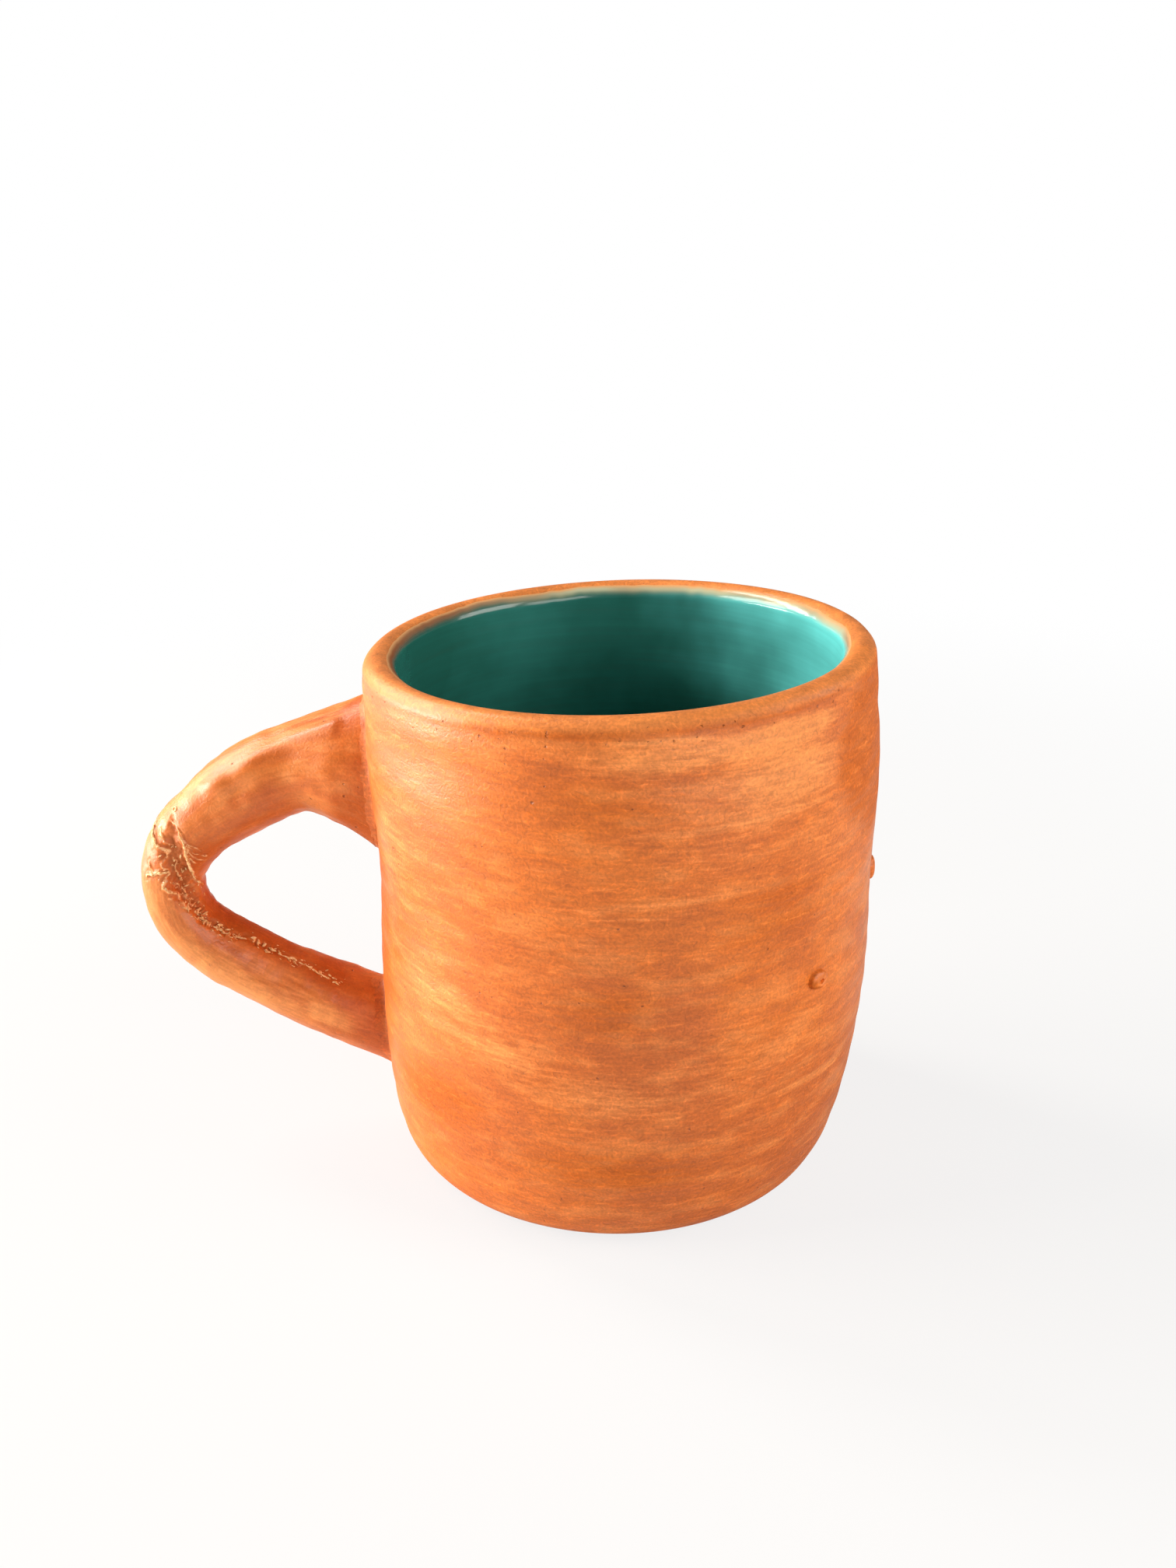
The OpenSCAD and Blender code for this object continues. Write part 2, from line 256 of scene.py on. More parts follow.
# The thrown pot
pot = {
    "height": 92.5, "rimDiameter": 84.0, "bellyDiameter": 85.3, "bellyHeight": 37.0, "footDiameter": 60.0,
    "lipThickness": 5.1, "wallThickness": 4.7, "floorThickness": 6.0, "innerHeelHeight": 19.0,
    "rimRise": 3.6, "riseCurve": 3, "bellyLean": 1.6, "rimLean": 0.4, "rimOval": 0.3,
    "wallWave": 0.5, "lipGroove": 0.2, "lipGrooveDrop": 10.0, "glazeDrop": 3.0, "glazeCrowding": 1.6,
    "heelShares": [(0, 0), (0.74, 0), (0.75, 0.06), (1, 0.47), (1, 1)],
    "innerHeelShares": [(1, 1), (1, 0.35), (0.86, 0), (0.4, 0)],
    "pointsAround": 512, "wallSpacing": 0.75, "lipSpacing": 0.4, "hiddenSpacing": 3.0,
    "underRadii": (8, 16, 23, 27.5),  # rings across the flat foot
    "lumpSize": 34.0, "lumpDepth": 0.1, "dimpleSize": 10.0, "dimpleDepth": 0.03,
    "ringSpacing": 5.6, "ringDepth": 0.03, "ringPatches": 30,  # the spiral that the fingers left
    # the line that the rib cut under the lip, which comes and goes
    "nickHeight": 89.9, "nickWidth": 0.6, "nickDepth": 0.07,
    "nickSway": 0.4, "nickShare": 0.7, "nickPatches": 26,
    "shoulderHeight": 90.6, "shoulderWidth": 2.6, "shoulderDepth": 0.15,  # how the wall rounds in to the lip
    "calmBelow": 6.0, "calmOverLip": 0.8,  # where the relief fades out, at the foot and over the lip
}
rimRadius, bellyRadius, footRadius = pot["rimDiameter"] / 2, pot["bellyDiameter"] / 2, pot["footDiameter"] / 2
lipRadius = pot["lipThickness"] / 2
lipHeight = pot["height"] - lipRadius
cavityRadius = bellyRadius - pot["wallThickness"]
glazeEdgeHeight = pot["height"] - pot["glazeDrop"]


def thrown(points):  # the true pot's points, moved as the thrown pot is: rim tipped, belly leaning
    x, y, z = points[..., 0], points[..., 1], points[..., 2]
    share = z / pot["height"]
    lean = pot["bellyLean"] * np.sin(math.pi * share) + pot["rimLean"] * share
    tip = pot["rimRise"] / pot["rimDiameter"] * share ** pot["riseCurve"]
    oval = pot["rimOval"] / pot["rimDiameter"] * share
    return np.stack([x * (1 + oval) + lean, y * (1 - oval), z + x * tip], axis=-1)


def turned(line, around):  # rings of a line of (radius, height) turned round the axis
    a = np.arange(around) * circle / around
    r, z = line[:, 0][:, None], line[:, 1][:, None]
    return np.stack([r * np.cos(a), r * np.sin(a), z + 0 * a], axis=-1)


def outwards(line, around):  # unit normals of those rings, where the line runs up outside and down inside
    along = np.gradient(line, axis=0)
    along /= np.linalg.norm(along, axis=1)[:, None]
    return turned(np.stack([along[:, 1], -along[:, 0]], axis=1), around)


shares = np.linspace(0, 1, 80)
heel = bezier(pot["heelShares"], shares)
heelLine = np.stack([mix(footRadius, bellyRadius, heel[:, 0]), pot["bellyHeight"] * heel[:, 1]], axis=1)
wallHeights = mix(pot["bellyHeight"], lipHeight, shares)
groove = np.maximum(0, 1 - abs(wallHeights - pot["height"] + pot["lipGrooveDrop"]) / pot["lipThickness"])
wallRadii = (mix(bellyRadius, rimRadius, shares ** 2)
             - pot["wallWave"] * np.sin(circle * shares) * np.sin(math.pi * shares)
             - pot["lipGroove"] * ease(groove))
outsideLine = np.concatenate([heelLine, np.stack([wallRadii, wallHeights], axis=1)[1:]])


def lipPoints(arc):  # points of the lip's half circle, from 0 outside to pi inside
    return np.stack([rimRadius - lipRadius * (1 - np.cos(arc)), lipHeight + lipRadius * np.sin(arc)], axis=1)


lipLine = lipPoints(np.linspace(0, math.pi, 60))
down = shares ** pot["glazeCrowding"]
innerWall = np.stack([mix(rimRadius - pot["lipThickness"], cavityRadius, ease(down)),
                      mix(glazeEdgeHeight, pot["floorThickness"] + pot["innerHeelHeight"], down)], axis=1)
innerHeel = bezier(pot["innerHeelShares"], shares)
innerHeelLine = np.stack([cavityRadius * innerHeel[:, 0],
                          pot["floorThickness"] + pot["innerHeelHeight"] * innerHeel[:, 1]], axis=1)
cavityLine = np.concatenate([innerWall, innerHeelLine[1:]])


def wallRadius(z):
    return np.interp(z, outsideLine[:, 1], outsideLine[:, 0])


def onWall(angle, arcLength, z, out):  # a point that stands `out` from the wall, `arcLength` along its girth
    r = wallRadius(z)
    a = angle + arcLength / r
    return np.stack([(r + out) * np.cos(a), (r + out) * np.sin(a), z + 0 * a], axis=-1)


# Brush strokes on the wall: angle round the pot, height, half length, half height, tilt, crispness, amount
brush = {
    "wash": [
        (-59, 87.2, 13.5, 2.4, 2, 2.5, 1.0), (-57, 81, 12.5, 6, 0, 1.5, 0.8), (-46, 69, 9, 8, 0, 1.5, 0.3),
        (-80, 86.8, 14, 2.6, 3, 1.5, 0.75), (-82, 89.4, 9, 0.5, 1, 2.5, 1.0),
        (-66, 75.6, 22, 0.7, 1, 1.5, 0.6), (-72, 73.2, 16, 0.5, 2, 1, 0.35),
        (-78, 64.6, 18, 0.8, 2, 1, 0.5), (-86, 62.4, 12, 0.6, 3, 1, 0.35),
        # the strokes at -138 and -117 degrees, and the one at -150 degrees below, are partly painted sheen,
        # paler where the window's highlight falls on the left side
        (-138, 43, 13, 5.5, -8, 1, 0.5), (-117, 36, 12, 5.0, -32, 1, 0.5), (-97, 31.5, 13, 4.2, -6, 1.2, 0.5),
        (-43, 27.3, 13, 1.0, -3, 1.5, 0.6), (-60, 37, 14, 4.0, 4, 1, 0.35), (-90, 2.6, 26, 0.5, 0, 1, 0.4),
        (-150, 66, 13, 14, 0, 1, 0.35), (-112, 57, 14, 0.6, -2, 1, 0.35), (-100, 70, 16, 0.6, 3, 1, 0.3),
    ],
    "bare": [
        (-138, 23.5, 15, 7, 5, 1.2, 0.8), (-57, 60, 13, 9, 6, 1.2, 0.55), (-96, 46, 12, 6, 0, 1, 0.5),
        # the stroke at -166 degrees darkens the far left edge with painted shade against the sheen there; the
        # two strokes just under the rim, at -66 and -106 degrees, are partly painted shade under the lip's
        # overhang
        (-96, 17, 22, 5.5, 0, 1.2, 0.6), (-166, 46, 8, 34, 0, 1.5, 0.8), (-92, 79.5, 14, 2.4, -8, 1, 0.45),
        (-66, 91.0, 24, 1.1, 0, 1.5, 0.85), (-106, 90.6, 22, 1.2, 0, 1.5, 0.75),
        (-20, 79, 16.5, 15, 0, 4, 0.9), (-118, 72, 17, 3, 0, 1, 0.35), (-66, 49, 9, 4, 0, 1, 0.4),
    ],
    # like strokes on the far side, drawn by chance within these ranges
    "unseen": {"wash": 15, "bare": 11}, "seed": 61, "angles": (0, 175), "heights": (8, 86),
    "halfLengths": (8, 22), "halfHeights": (0.6, 6), "thickening": 1.1, "tiltSpread": 5, "crispness": (1, 2),
    "amounts": (0.35, 0.8),
}
chance = np.random.default_rng(brush["seed"])
for kind, count in brush["unseen"].items():
    for _ in range(count):
        brush[kind].append((
            chance.uniform(*brush["angles"]), chance.uniform(*brush["heights"]),
            chance.uniform(*brush["halfLengths"]),
            chance.uniform(*brush["halfHeights"]) ** brush["thickening"],
            chance.normal(0, brush["tiltSpread"]), chance.uniform(*brush["crispness"]),
            chance.uniform(*brush["amounts"])))


def brushed(points, kind):  # how much of a kind of stroke lies at each point of the true pot
    angle = np.arctan2(points[..., 1], points[..., 0])
    total = np.zeros(angle.shape)
    for degrees, height, halfLength, halfHeight, tilt, crispness, amount in brush[kind]:
        along = apart(angle, math.radians(degrees)) * bellyRadius
        up = points[..., 2] - height
        c, s = math.cos(math.radians(tilt)), math.sin(math.radians(tilt))
        far = ((along * c + up * s) / halfLength) ** 2 + ((up * c - along * s) / halfHeight) ** 2
        total = np.maximum(total, amount * np.exp(-far ** crispness))
    return total


potLine = np.concatenate([
    np.array([[r, 0.0] for r in pot["underRadii"]]),
    resample(outsideLine, pot["wallSpacing"]),
    resample(lipLine, pot["lipSpacing"])[1:],
    resample(cavityLine, pot["hiddenSpacing"])[1:],
])
potRings = turned(potLine, pot["pointsAround"])
lineRadii, lineHeights = potLine[:, :1], potLine[:, 1:]
isInside = np.arange(len(potLine))[:, None] > np.argmax(lineHeights)
offFoot = ease(lineHeights / pot["calmBelow"])
reliefShare = ease((lineRadii - rimRadius + lipRadius) / (pot["calmOverLip"] * lipRadius)) * offFoot
reliefShare = np.where(isInside & (lineRadii < rimRadius - lipRadius + 0.1), 0, reliefShare)
reliefShare = np.maximum(reliefShare, np.where(isInside, 0, offFoot * (lineHeights < lipHeight)))
turn = np.arange(pot["pointsAround"]) * circle / pot["pointsAround"]
spiral = np.sin(circle * lineHeights / pot["ringSpacing"] + turn)
spiral = spiral * (1 + lumps(potRings, pot["ringPatches"], 3))
nickHeights = pot["nickHeight"] + pot["nickSway"] * np.sin(turn + 1)
nick = np.exp(-((lineHeights - nickHeights) / pot["nickWidth"]) ** 2)
nick = nick * np.clip(pot["nickShare"] + lumps(potRings * (1, 1, 0), pot["nickPatches"], 8), 0, 1.3)
shoulder = np.exp(-((lineHeights - pot["shoulderHeight"]) / pot["shoulderWidth"]) ** 2)
relief = reliefShare * (
    pot["ringDepth"] * spiral
    + pot["lumpDepth"] * lumps(potRings, pot["lumpSize"], 5)
    + pot["dimpleDepth"] * lumps(potRings, pot["dimpleSize"], 6)
    - pot["nickDepth"] * nick - pot["shoulderDepth"] * shoulder)
potNormals = outwards(potLine, pot["pointsAround"])
clayPot = loftPiece(
    "clayPot", thrown(np.array([0, 0, 0.0])), thrown(potRings + potNormals * relief[..., None]),
    thrown(np.array([0, 0, pot["floorThickness"]])),
    {"wash": brushed(potRings, "wash"), "bare": brushed(potRings, "bare")})

# The glaze inside
glaze = {
    "thickness": 0.45, "overLip": 71.0,  # degrees up the lip's inner curve at which its mesh starts
    "edgeDrop": 0.35, "edgeWander": 0.3, "edgeLumps": 16.0,  # where it thins out, down from that start
    "edgeFray": 0.12, "frayLumps": 3.2, "taper": 3.0, "sunk": 0.06,
    "pointsAround": 576, "edgeSpacing": 0.3, "edgeBand": 9.0, "spacing": 1.0, "hiddenStep": 4,
    "ringSpacing": 3.1, "ringDepth": 0.012, "driftDepth": 0.06, "driftSize": 16.0,
    # how creamy the thin edge is, partly painted light where the window lights the inner lip on the right:
    # angle round the rim, half width in degrees, amount
    "creamAndSheenAt": [(84, 42, 1.0), (22, 30, 0.85), (-70, 60, 0.6), (150, 25, 0.12)],
    "creamAndSheenLumps": 9.0, "creamAndSheenPatches": 0.35,
}
innerArc = np.linspace(math.radians(180 - glaze["overLip"]), math.pi, 30)
innerLip = lipPoints(innerArc)
glazeLine = np.concatenate([innerLip, cavityLine[1:]])
fine = resample(glazeLine, glaze["edgeSpacing"])
fineCount = int(glaze["edgeBand"] / glaze["edgeSpacing"])
glazeLine = np.concatenate([fine[:fineCount], resample(fine[fineCount:], glaze["spacing"])[:-1]])
glazeRings = turned(glazeLine, glaze["pointsAround"])
turn = np.arange(glaze["pointsAround"]) * circle / glaze["pointsAround"]
rimPoints = np.stack([rimRadius * np.cos(turn), rimRadius * np.sin(turn), 0 * turn], axis=-1)
edge = (glaze["edgeDrop"] + glaze["edgeWander"] * lumps(rimPoints, glaze["edgeLumps"], 11)
        + glaze["edgeFray"] * lumps(rimPoints, glaze["frayLumps"], 12))
coat = ease((lengthAlong(glazeLine)[:, None] - edge) / glaze["taper"])
rings = np.sin(circle * glazeLine[:, 1][:, None] / glaze["ringSpacing"] + turn)
depth = mix(-glaze["sunk"], glaze["thickness"] + glaze["ringDepth"] * rings
            + glaze["driftDepth"] * lumps(glazeRings, glaze["driftSize"], 13), coat)
glazeNormals = outwards(glazeLine, glaze["pointsAround"])
front = thrown(glazeRings + glazeNormals * depth[..., None])
hidden = slice(None, None, glaze["hiddenStep"])  # the hidden side has fewer rings
back = thrown(glazeRings - glazeNormals * 2 * glaze["sunk"])[hidden]
floorPoint = np.array([0, 0, pot["floorThickness"]])
creamAndSheen = sum(amount * np.exp(-(apart(turn, math.radians(at)) / math.radians(wide)) ** 4)
            for at, wide, amount in glaze["creamAndSheenAt"])
creamAndSheen = creamAndSheen * (1 + glaze["creamAndSheenPatches"] * lumps(rimPoints, glaze["creamAndSheenLumps"], 14))
creamAndSheen = np.clip(creamAndSheen, 0, 1) + 0 * coat
glazeLining = loftPiece(
    "glazeLining", thrown(floorPoint - (0, 0, 2 * glaze["sunk"])), np.concatenate([back[::-1], front]),
    thrown(floorPoint + (0, 0, glaze["thickness"])),
    {"coat": np.concatenate([coat[hidden][::-1], coat]),
     "creamAndSheen": np.concatenate([creamAndSheen[hidden][::-1], creamAndSheen])})

# The rolled handle. Places run from 0 at the upper root to 1 at the lower one; turns are degrees round
# the coil, 0 on the finger's side, 90 in front and 180 outside.
handle = {
    "reach": 41.8, "elbowThickness": 10.6, "elbowWidth": 12.0, "elbowShare": 0.575, "flareShare": 0.3,
    "flarePower": 1.5, "rootWidthShare": 0.74, "slip": 0.6, "aimShare": 0.01,
    "upper": {"root": 69.9, "size": 16.0, "rootHeight": 28.0, "side": 1,
              "shares": [(0, 1), (0.37, 1.3), (1, 0.51), (1, 0)]},
    "lower": {"root": 20.4, "size": 12.6, "rootHeight": 16.4, "side": -1,
              "shares": [(0, 1), (0.7, 0.58), (1, 0.43), (1, 0)]},
    "pointsAround": 196, "ringsAlong": 486, "endBand": 0.0004,
    "tornFrom": 0.32, "tornTo": 0.88, "tornDensity": 2.2,  # where the rings lie closer
    # the crease: place, turn, half width and depth
    "crease": [(0.33, 139, 0.6, 0), (0.35, 124, 1.5, 0.45), (0.375, 104, 2.4, 0.7), (0.41, 82, 2.8, 0.8),
               (0.46, 62, 2.9, 0.85), (0.50, 46, 2.5, 0.8), (0.55, 40, 1.8, 0.7), (0.60, 41, 1.2, 0.5),
               (0.68, 37, 0.9, 0.3), (0.75, 29, 0.8, 0.25), (0.82, 24, 0.8, 0.25), (0.93, 27, 0.7, 0.15),
               (1.0, 24, 0.5, 0)],
    "wander": 5.0, "wanderSize": 4.0,  # degrees that the crease strays, and the length of its bends
    "widthChange": 0.2, "widthPatches": 2.5, "openShare": 1.1, "openChange": 0.6, "openPatches": 3.0,
    "leastOpen": 0.3, "mostOpen": 1.5, "fullyOpen": 0.7,  # the last is a depth in mm
    "raggedness": 0.22, "raggedSize": 2.08, "troughSteepness": 1.6, "edgeAt": 1.15, "edgeSharpness": 10,
    "outerEdge": 0.35, "innerEdge": 0.12, "leastFlake": 0.3,  # how far the torn edges stand up
    # the crumpled seam in the crease: from and to, half width, height, size of its crumples
    "seam": (0.50, 0.88, 0.75, 0.22, 1.0), "seamFade": 0.06, "seamShare": 0.8, "seamChange": 0.6,
    "seamPatches": 3.5, "mostSeam": 1.3, "crumpleStretch": (1.3, 1, 1), "crumpleSharpness": 1.6,
    # wrinkles: height, half width, then their places and turns
    "wrinkles": [
        (0.30, 0.24, [(0.341, 134), (0.344, 113), (0.356, 92), (0.385, 71), (0.421, 48), (0.465, 27),
                      (0.508, 7)]),
        (0.30, 0.30, [(0.366, 172), (0.379, 158), (0.386, 146), (0.395, 124), (0.393, 107)]),
        (0.35, 0.30, [(0.393, 107), (0.424, 104), (0.435, 88), (0.440, 98), (0.452, 112), (0.463, 128)]),
        (0.25, 0.25, [(0.452, 108), (0.449, 121), (0.438, 131)]),
        (0.35, 0.32, [(0.435, 88), (0.462, 90), (0.480, 90), (0.499, 68), (0.53, 60), (0.556, 57)]),
        (0.25, 0.26, [(0.47, 70), (0.50, 52), (0.53, 46), (0.56, 42)]),
        (0.20, 0.22, [(0.343, 110), (0.350, 96), (0.352, 80), (0.350, 66)]),
        (0.20, 0.22, [(0.353, 92), (0.360, 78), (0.363, 62), (0.360, 50)]),
        (0.20, 0.22, [(0.362, 88), (0.370, 72), (0.375, 58), (0.372, 44)]),
        (0.18, 0.22, [(0.374, 78), (0.384, 62), (0.388, 48)]),
        (0.20, 0.22, [(0.40, 96), (0.41, 84), (0.43, 76), (0.45, 60)]),
        (0.20, 0.22, [(0.372, 140), (0.375, 122), (0.382, 108)]),
    ],
    "stray": 0.3, "straySize": 1.5,  # how far the wrinkles wander
    "crestShare": 0.85, "crestChange": 0.5, "crestPatches": 1.4, "leastCrest": 0.2, "mostCrest": 1.4,
    "creviceAt": 2.2, "creviceDepth": 0.08,  # beside a wrinkle, in its half widths
    "flakeSize": 1.3, "flakeDepth": 0.2,
    "lumpSize": 11.0, "lumpDepth": 0.2, "dimpleSize": 3.6, "dimpleDepth": 0.07,
    "calmRoot": 0.018, "calmFade": 0.04, "foldFade": 0.03,  # shares of the handle's length
    # hollows, and swellings with a depth below nought: place, turn, radius, depth
    "dents": [
        (0.312, 183, 2.0, 0.45), (0.375, 178, 3.2, -0.25), (0.335, 62, 4.0, 0.35), (0.212, 105, 1.7, 0.35),
        (0.236, 120, 2.0, -0.2), (0.13, 62, 5.5, 0.35), (0.43, 170, 4.2, -0.3), (0.73, 150, 7.0, 0.2),
        (0.84, 60, 5.0, 0.2), (0.09, 95, 3.0, -0.25), (0.16, 88, 3.0, 0.3), (0.27, 88, 4.0, 0.25),
    ],
    # long ridges and hollows: their places and turns, width, depth
    "folds": [([(0.03, 150), (0.10, 142), (0.166, 134), (0.204, 127), (0.275, 132)], 1.8, -0.7),
              ([(0.06, 104), (0.16, 100), (0.26, 98)], 3.2, 0.25),
              ([(0.70, 96), (0.77, 91), (0.90, 88)], 2.4, -0.2)],
    # paler and redder skin, partly real wash and rubbing and partly painted light and shade: painted top
    # light on the upper arm, a painted pale underside and a painted shaded finger side on the lower arm,
    # painted shade in the dents, by the roots and inside the elbow: place, turn, half length, half width,
    # amount
    "washAndLitSpots": [
        (0.40, 176, 10, 4.0, 0.15), (0.15, 152, 14, 2.6, 0.45), (0.16, 192, 18, 5.0, 0.6),
        (0.236, 114, 2.5, 1.6, 0.4), (0.139, 98, 3.2, 1.6, 0.45), (0.044, 89, 2.2, 1.4, 0.5),
        (0.72, 97, 9, 2.4, 0.75), (0.82, 91, 8, 2.0, 0.6), (0.93, 90, 6, 2.4, 0.75), (0.30, 155, 8, 3, 0.6),
        (0.58, 125, 12, 3.5, 0.4), (0.62, 98, 14, 5, 0.4), (0.78, 112, 18, 5, 0.8), (0.82, 88, 20, 6, 0.5),
    ],
    "bareAndShadedSpots": [
        (0.75, 4, 17, 4.0, 1.0), (0.92, 16, 7, 4.5, 0.8), (0.212, 104, 2.4, 1.5, 0.3), (0.28, 92, 3, 2, 0.3),
        (0.02, 50, 6, 8, 0.8), (0.36, 46, 8, 5, 0.7), (0.66, 40, 8, 2.4, 0.3), (0.20, 52, 12, 3.5, 0.5),
        (0.87, 50, 7, 2.4, 0.3),
    ],
    "spotCrispness": 1.3,
}
elbowX = bellyRadius + handle["reach"] - handle["elbowThickness"] / 2
elbowZ = mix(handle["lower"]["root"], handle["upper"]["root"], handle["elbowShare"])


def armMiddle(arm, share):  # the coil's middle as (distance out, height)
    curve = bezier(arm["shares"], share)
    return np.stack([mix(wallRadius(arm["root"]) + handle["slip"], elbowX, curve[:, 0]),
                     mix(elbowZ, arm["root"], curve[:, 1])], axis=1)


def coilHalf(arm, share):
    flare = np.maximum(1 - share / handle["flareShare"], 0) ** handle["flarePower"]
    bend = ease((share - handle["flareShare"]) / (1 - handle["flareShare"]))
    tall = mix(arm["size"], handle["elbowThickness"], bend)
    wide = mix(arm["size"], handle["elbowWidth"], bend)
    return (mix(tall, arm["rootHeight"], flare) / 2,
            mix(wide, arm["rootHeight"] * handle["rootWidthShare"], flare) / 2)


def armRings(arm, share, turns, inwards, scale=1.0):  # rings of an arm, each point drawn in by `inwards`
    middle = armMiddle(arm, share)
    along = (armMiddle(arm, np.minimum(share + handle["aimShare"], 1))
             - armMiddle(arm, np.maximum(share - handle["aimShare"], 0)))
    along /= np.linalg.norm(along, axis=1)[:, None]
    tall, wide = coilHalf(arm, share)
    rise = -arm["side"] * np.cos(turns) * (tall[:, None] - inwards) * scale
    front = np.sin(turns) * (wide[:, None] - inwards) * scale
    squareOn = np.stack([
        rise * along[:, 1:] - middle[:, :1], -front, middle[:, 1:] + rise * along[:, :1]], axis=-1)
    out = (middle[:, 0] - wallRadius(arm["root"]))[:, None]
    onRoot = onWall(math.pi, front, middle[:, 1:] + rise, out)
    hold = 1 - ease(np.minimum(share / handle["flareShare"], 1))
    return mix(squareOn, onRoot, hold[:, None, None])


def coilRings(places, turns, inwards):  # rings of the whole handle, from the upper root to the lower one
    upper = places <= 0.5
    return np.concatenate([
        armRings(handle["upper"], 2 * places[upper], turns, inwards[upper]),
        armRings(handle["lower"], 2 * (1 - places[~upper]), turns, inwards[~upper]),
    ])


evenPlaces = np.linspace(0, 1, 400)
torn = (evenPlaces > handle["tornFrom"]) & (evenPlaces < handle["tornTo"])
crowding = np.cumsum(np.where(torn, handle["tornDensity"], 1.0))
crowding = (crowding - crowding[0]) / (crowding[-1] - crowding[0])
places = np.interp(np.linspace(0, 1, handle["ringsAlong"]), crowding, evenPlaces)
places = np.sort(np.append(places, [handle["endBand"], 1 - handle["endBand"]]))  # keeps the ends' folds sharp
turns = np.arange(handle["pointsAround"]) * circle / handle["pointsAround"]
plain = coilRings(places, turns, np.zeros((len(places), len(turns))))
alongMm = lengthAlong(plain.mean(axis=1))
radii = np.where(places <= 0.5, coilHalf(handle["upper"], 2 * places)[1],
                 coilHalf(handle["lower"], 2 * (1 - places))[1])[:, None]
unrolled = np.stack([alongMm[:, None] + 0 * turns, radii * np.cos(turns), radii * np.sin(turns)], axis=-1)
alongLine = np.stack([alongMm, 0 * alongMm, 0 * alongMm], axis=-1)


def farFrom(place, degrees):  # distances along and round the coil from a spot, at every point of it
    return alongMm[:, None] - np.interp(place, places, alongMm), apart(turns, math.radians(degrees)) * radii


def spots(entries):
    total = np.zeros(plain.shape[:2])
    for place, degrees, halfLength, halfWidth, amount in entries:
        along, roundMm = farFrom(place, degrees)
        far = (along / halfLength) ** 2 + (roundMm / halfWidth) ** 2
        total = np.maximum(total, amount * np.exp(-far ** handle["spotCrispness"]))
    return total


creasePlaces, creaseTurns, creaseWidths, creaseDepths = np.array(handle["crease"]).T
creaseTurn = np.interp(places, creasePlaces, creaseTurns)
creaseTurn = creaseTurn + handle["wander"] * lumps(alongLine, handle["wanderSize"], 21)
creaseWidth = np.interp(places, creasePlaces, creaseWidths)
creaseWidth = creaseWidth * (1 + handle["widthChange"] * lumps(alongLine, handle["widthPatches"], 22))
creaseWidth = creaseWidth[:, None]
patchy = handle["openShare"] + handle["openChange"] * lumps(alongLine, handle["openPatches"], 28)
patchy = np.clip(patchy, handle["leastOpen"], handle["mostOpen"])  # how open the tear is, along its length
creaseDepth = (np.interp(places, creasePlaces, creaseDepths) * patchy)[:, None]
across = apart(turns, np.radians(creaseTurn)[:, None]) * radii / creaseWidth  # -1 and 1 are its torn edges
ragged = across + handle["raggedness"] * lumps(unrolled, handle["raggedSize"], 23)
trough = np.exp(-handle["troughSteepness"] * np.abs(ragged) ** 3)
# the outer lip of the tear stands up in flakes
outerEdge, innerEdge = [np.exp(-handle["edgeSharpness"] * (ragged - handle["edgeAt"] * side) ** 2)
                        for side in (1, -1)]
flakes = np.maximum(0, lumps(unrolled, handle["flakeSize"], 24))
openShare = ease(creaseDepth / handle["fullyOpen"])
seamFrom, seamTo, seamWidth, seamHeight, crumpleSize = handle["seam"]
seamShare = ease((places - seamFrom) / handle["seamFade"]) * ease((seamTo - places) / handle["seamFade"])
seamPatches = handle["seamShare"] + handle["seamChange"] * lumps(alongLine, handle["seamPatches"], 40)
seamShare = seamShare * np.clip(seamPatches, 0, handle["mostSeam"])
seam = np.exp(-(across * creaseWidth / seamWidth) ** 2) * seamShare[:, None]
crumple = lumps(unrolled * handle["crumpleStretch"], crumpleSize, 41)
crumple = np.clip(handle["crumpleSharpness"] * crumple, -1, 1)
strayAlong = handle["stray"] * lumps(unrolled, handle["straySize"], 42)
strayRound = handle["stray"] * lumps(unrolled, handle["straySize"], 43)
wrinkled, creviced, raised = np.zeros((3,) + plain.shape[:2])
for height, halfWidth, line in handle["wrinkles"]:
    nearest = np.full(plain.shape[:2], 99.0)
    for (place0, turn0), (place1, turn1) in zip(line, line[1:]):
        along, roundMm = farFrom(place0, turn0)
        along, roundMm = along + strayAlong, roundMm + strayRound
        reach = np.interp(place1, places, alongMm) - np.interp(place0, places, alongMm)
        swing = math.radians(turn1 - turn0) * radii
        t = np.clip((along * reach + roundMm * swing) / (reach ** 2 + swing ** 2), 0, 1)
        nearest = np.minimum(nearest, np.hypot(along - t * reach, roundMm - t * swing))
    crestShare = handle["crestShare"] + handle["crestChange"] * lumps(unrolled, handle["crestPatches"], 44)
    crest = np.exp(-(nearest / halfWidth) ** 2)
    crest = crest * np.clip(crestShare, handle["leastCrest"], handle["mostCrest"])
    raised = np.maximum(raised, height * crest)
    wrinkled = np.maximum(wrinkled, crest)
    creviced = np.maximum(creviced, np.exp(-(nearest / halfWidth - handle["creviceAt"]) ** 2))
standsUp = handle["outerEdge"] * outerEdge * (handle["leastFlake"] + flakes) + handle["innerEdge"] * innerEdge
coarse, fine = lumps(unrolled, handle["flakeSize"], 25), lumps(unrolled, handle["flakeSize"] / 2, 29)
drawnIn = (creaseDepth * (trough - standsUp)
           + handle["flakeDepth"] * trough * openShare * (coarse + fine / 2)
           - seamHeight * seam * crumple - raised + handle["creviceDepth"] * creviced)
for place, degrees, radius, depth in handle["dents"]:
    along, roundMm = farFrom(place, degrees)
    drawnIn = drawnIn + depth * np.exp(-(along ** 2 + roundMm ** 2) / radius ** 2)
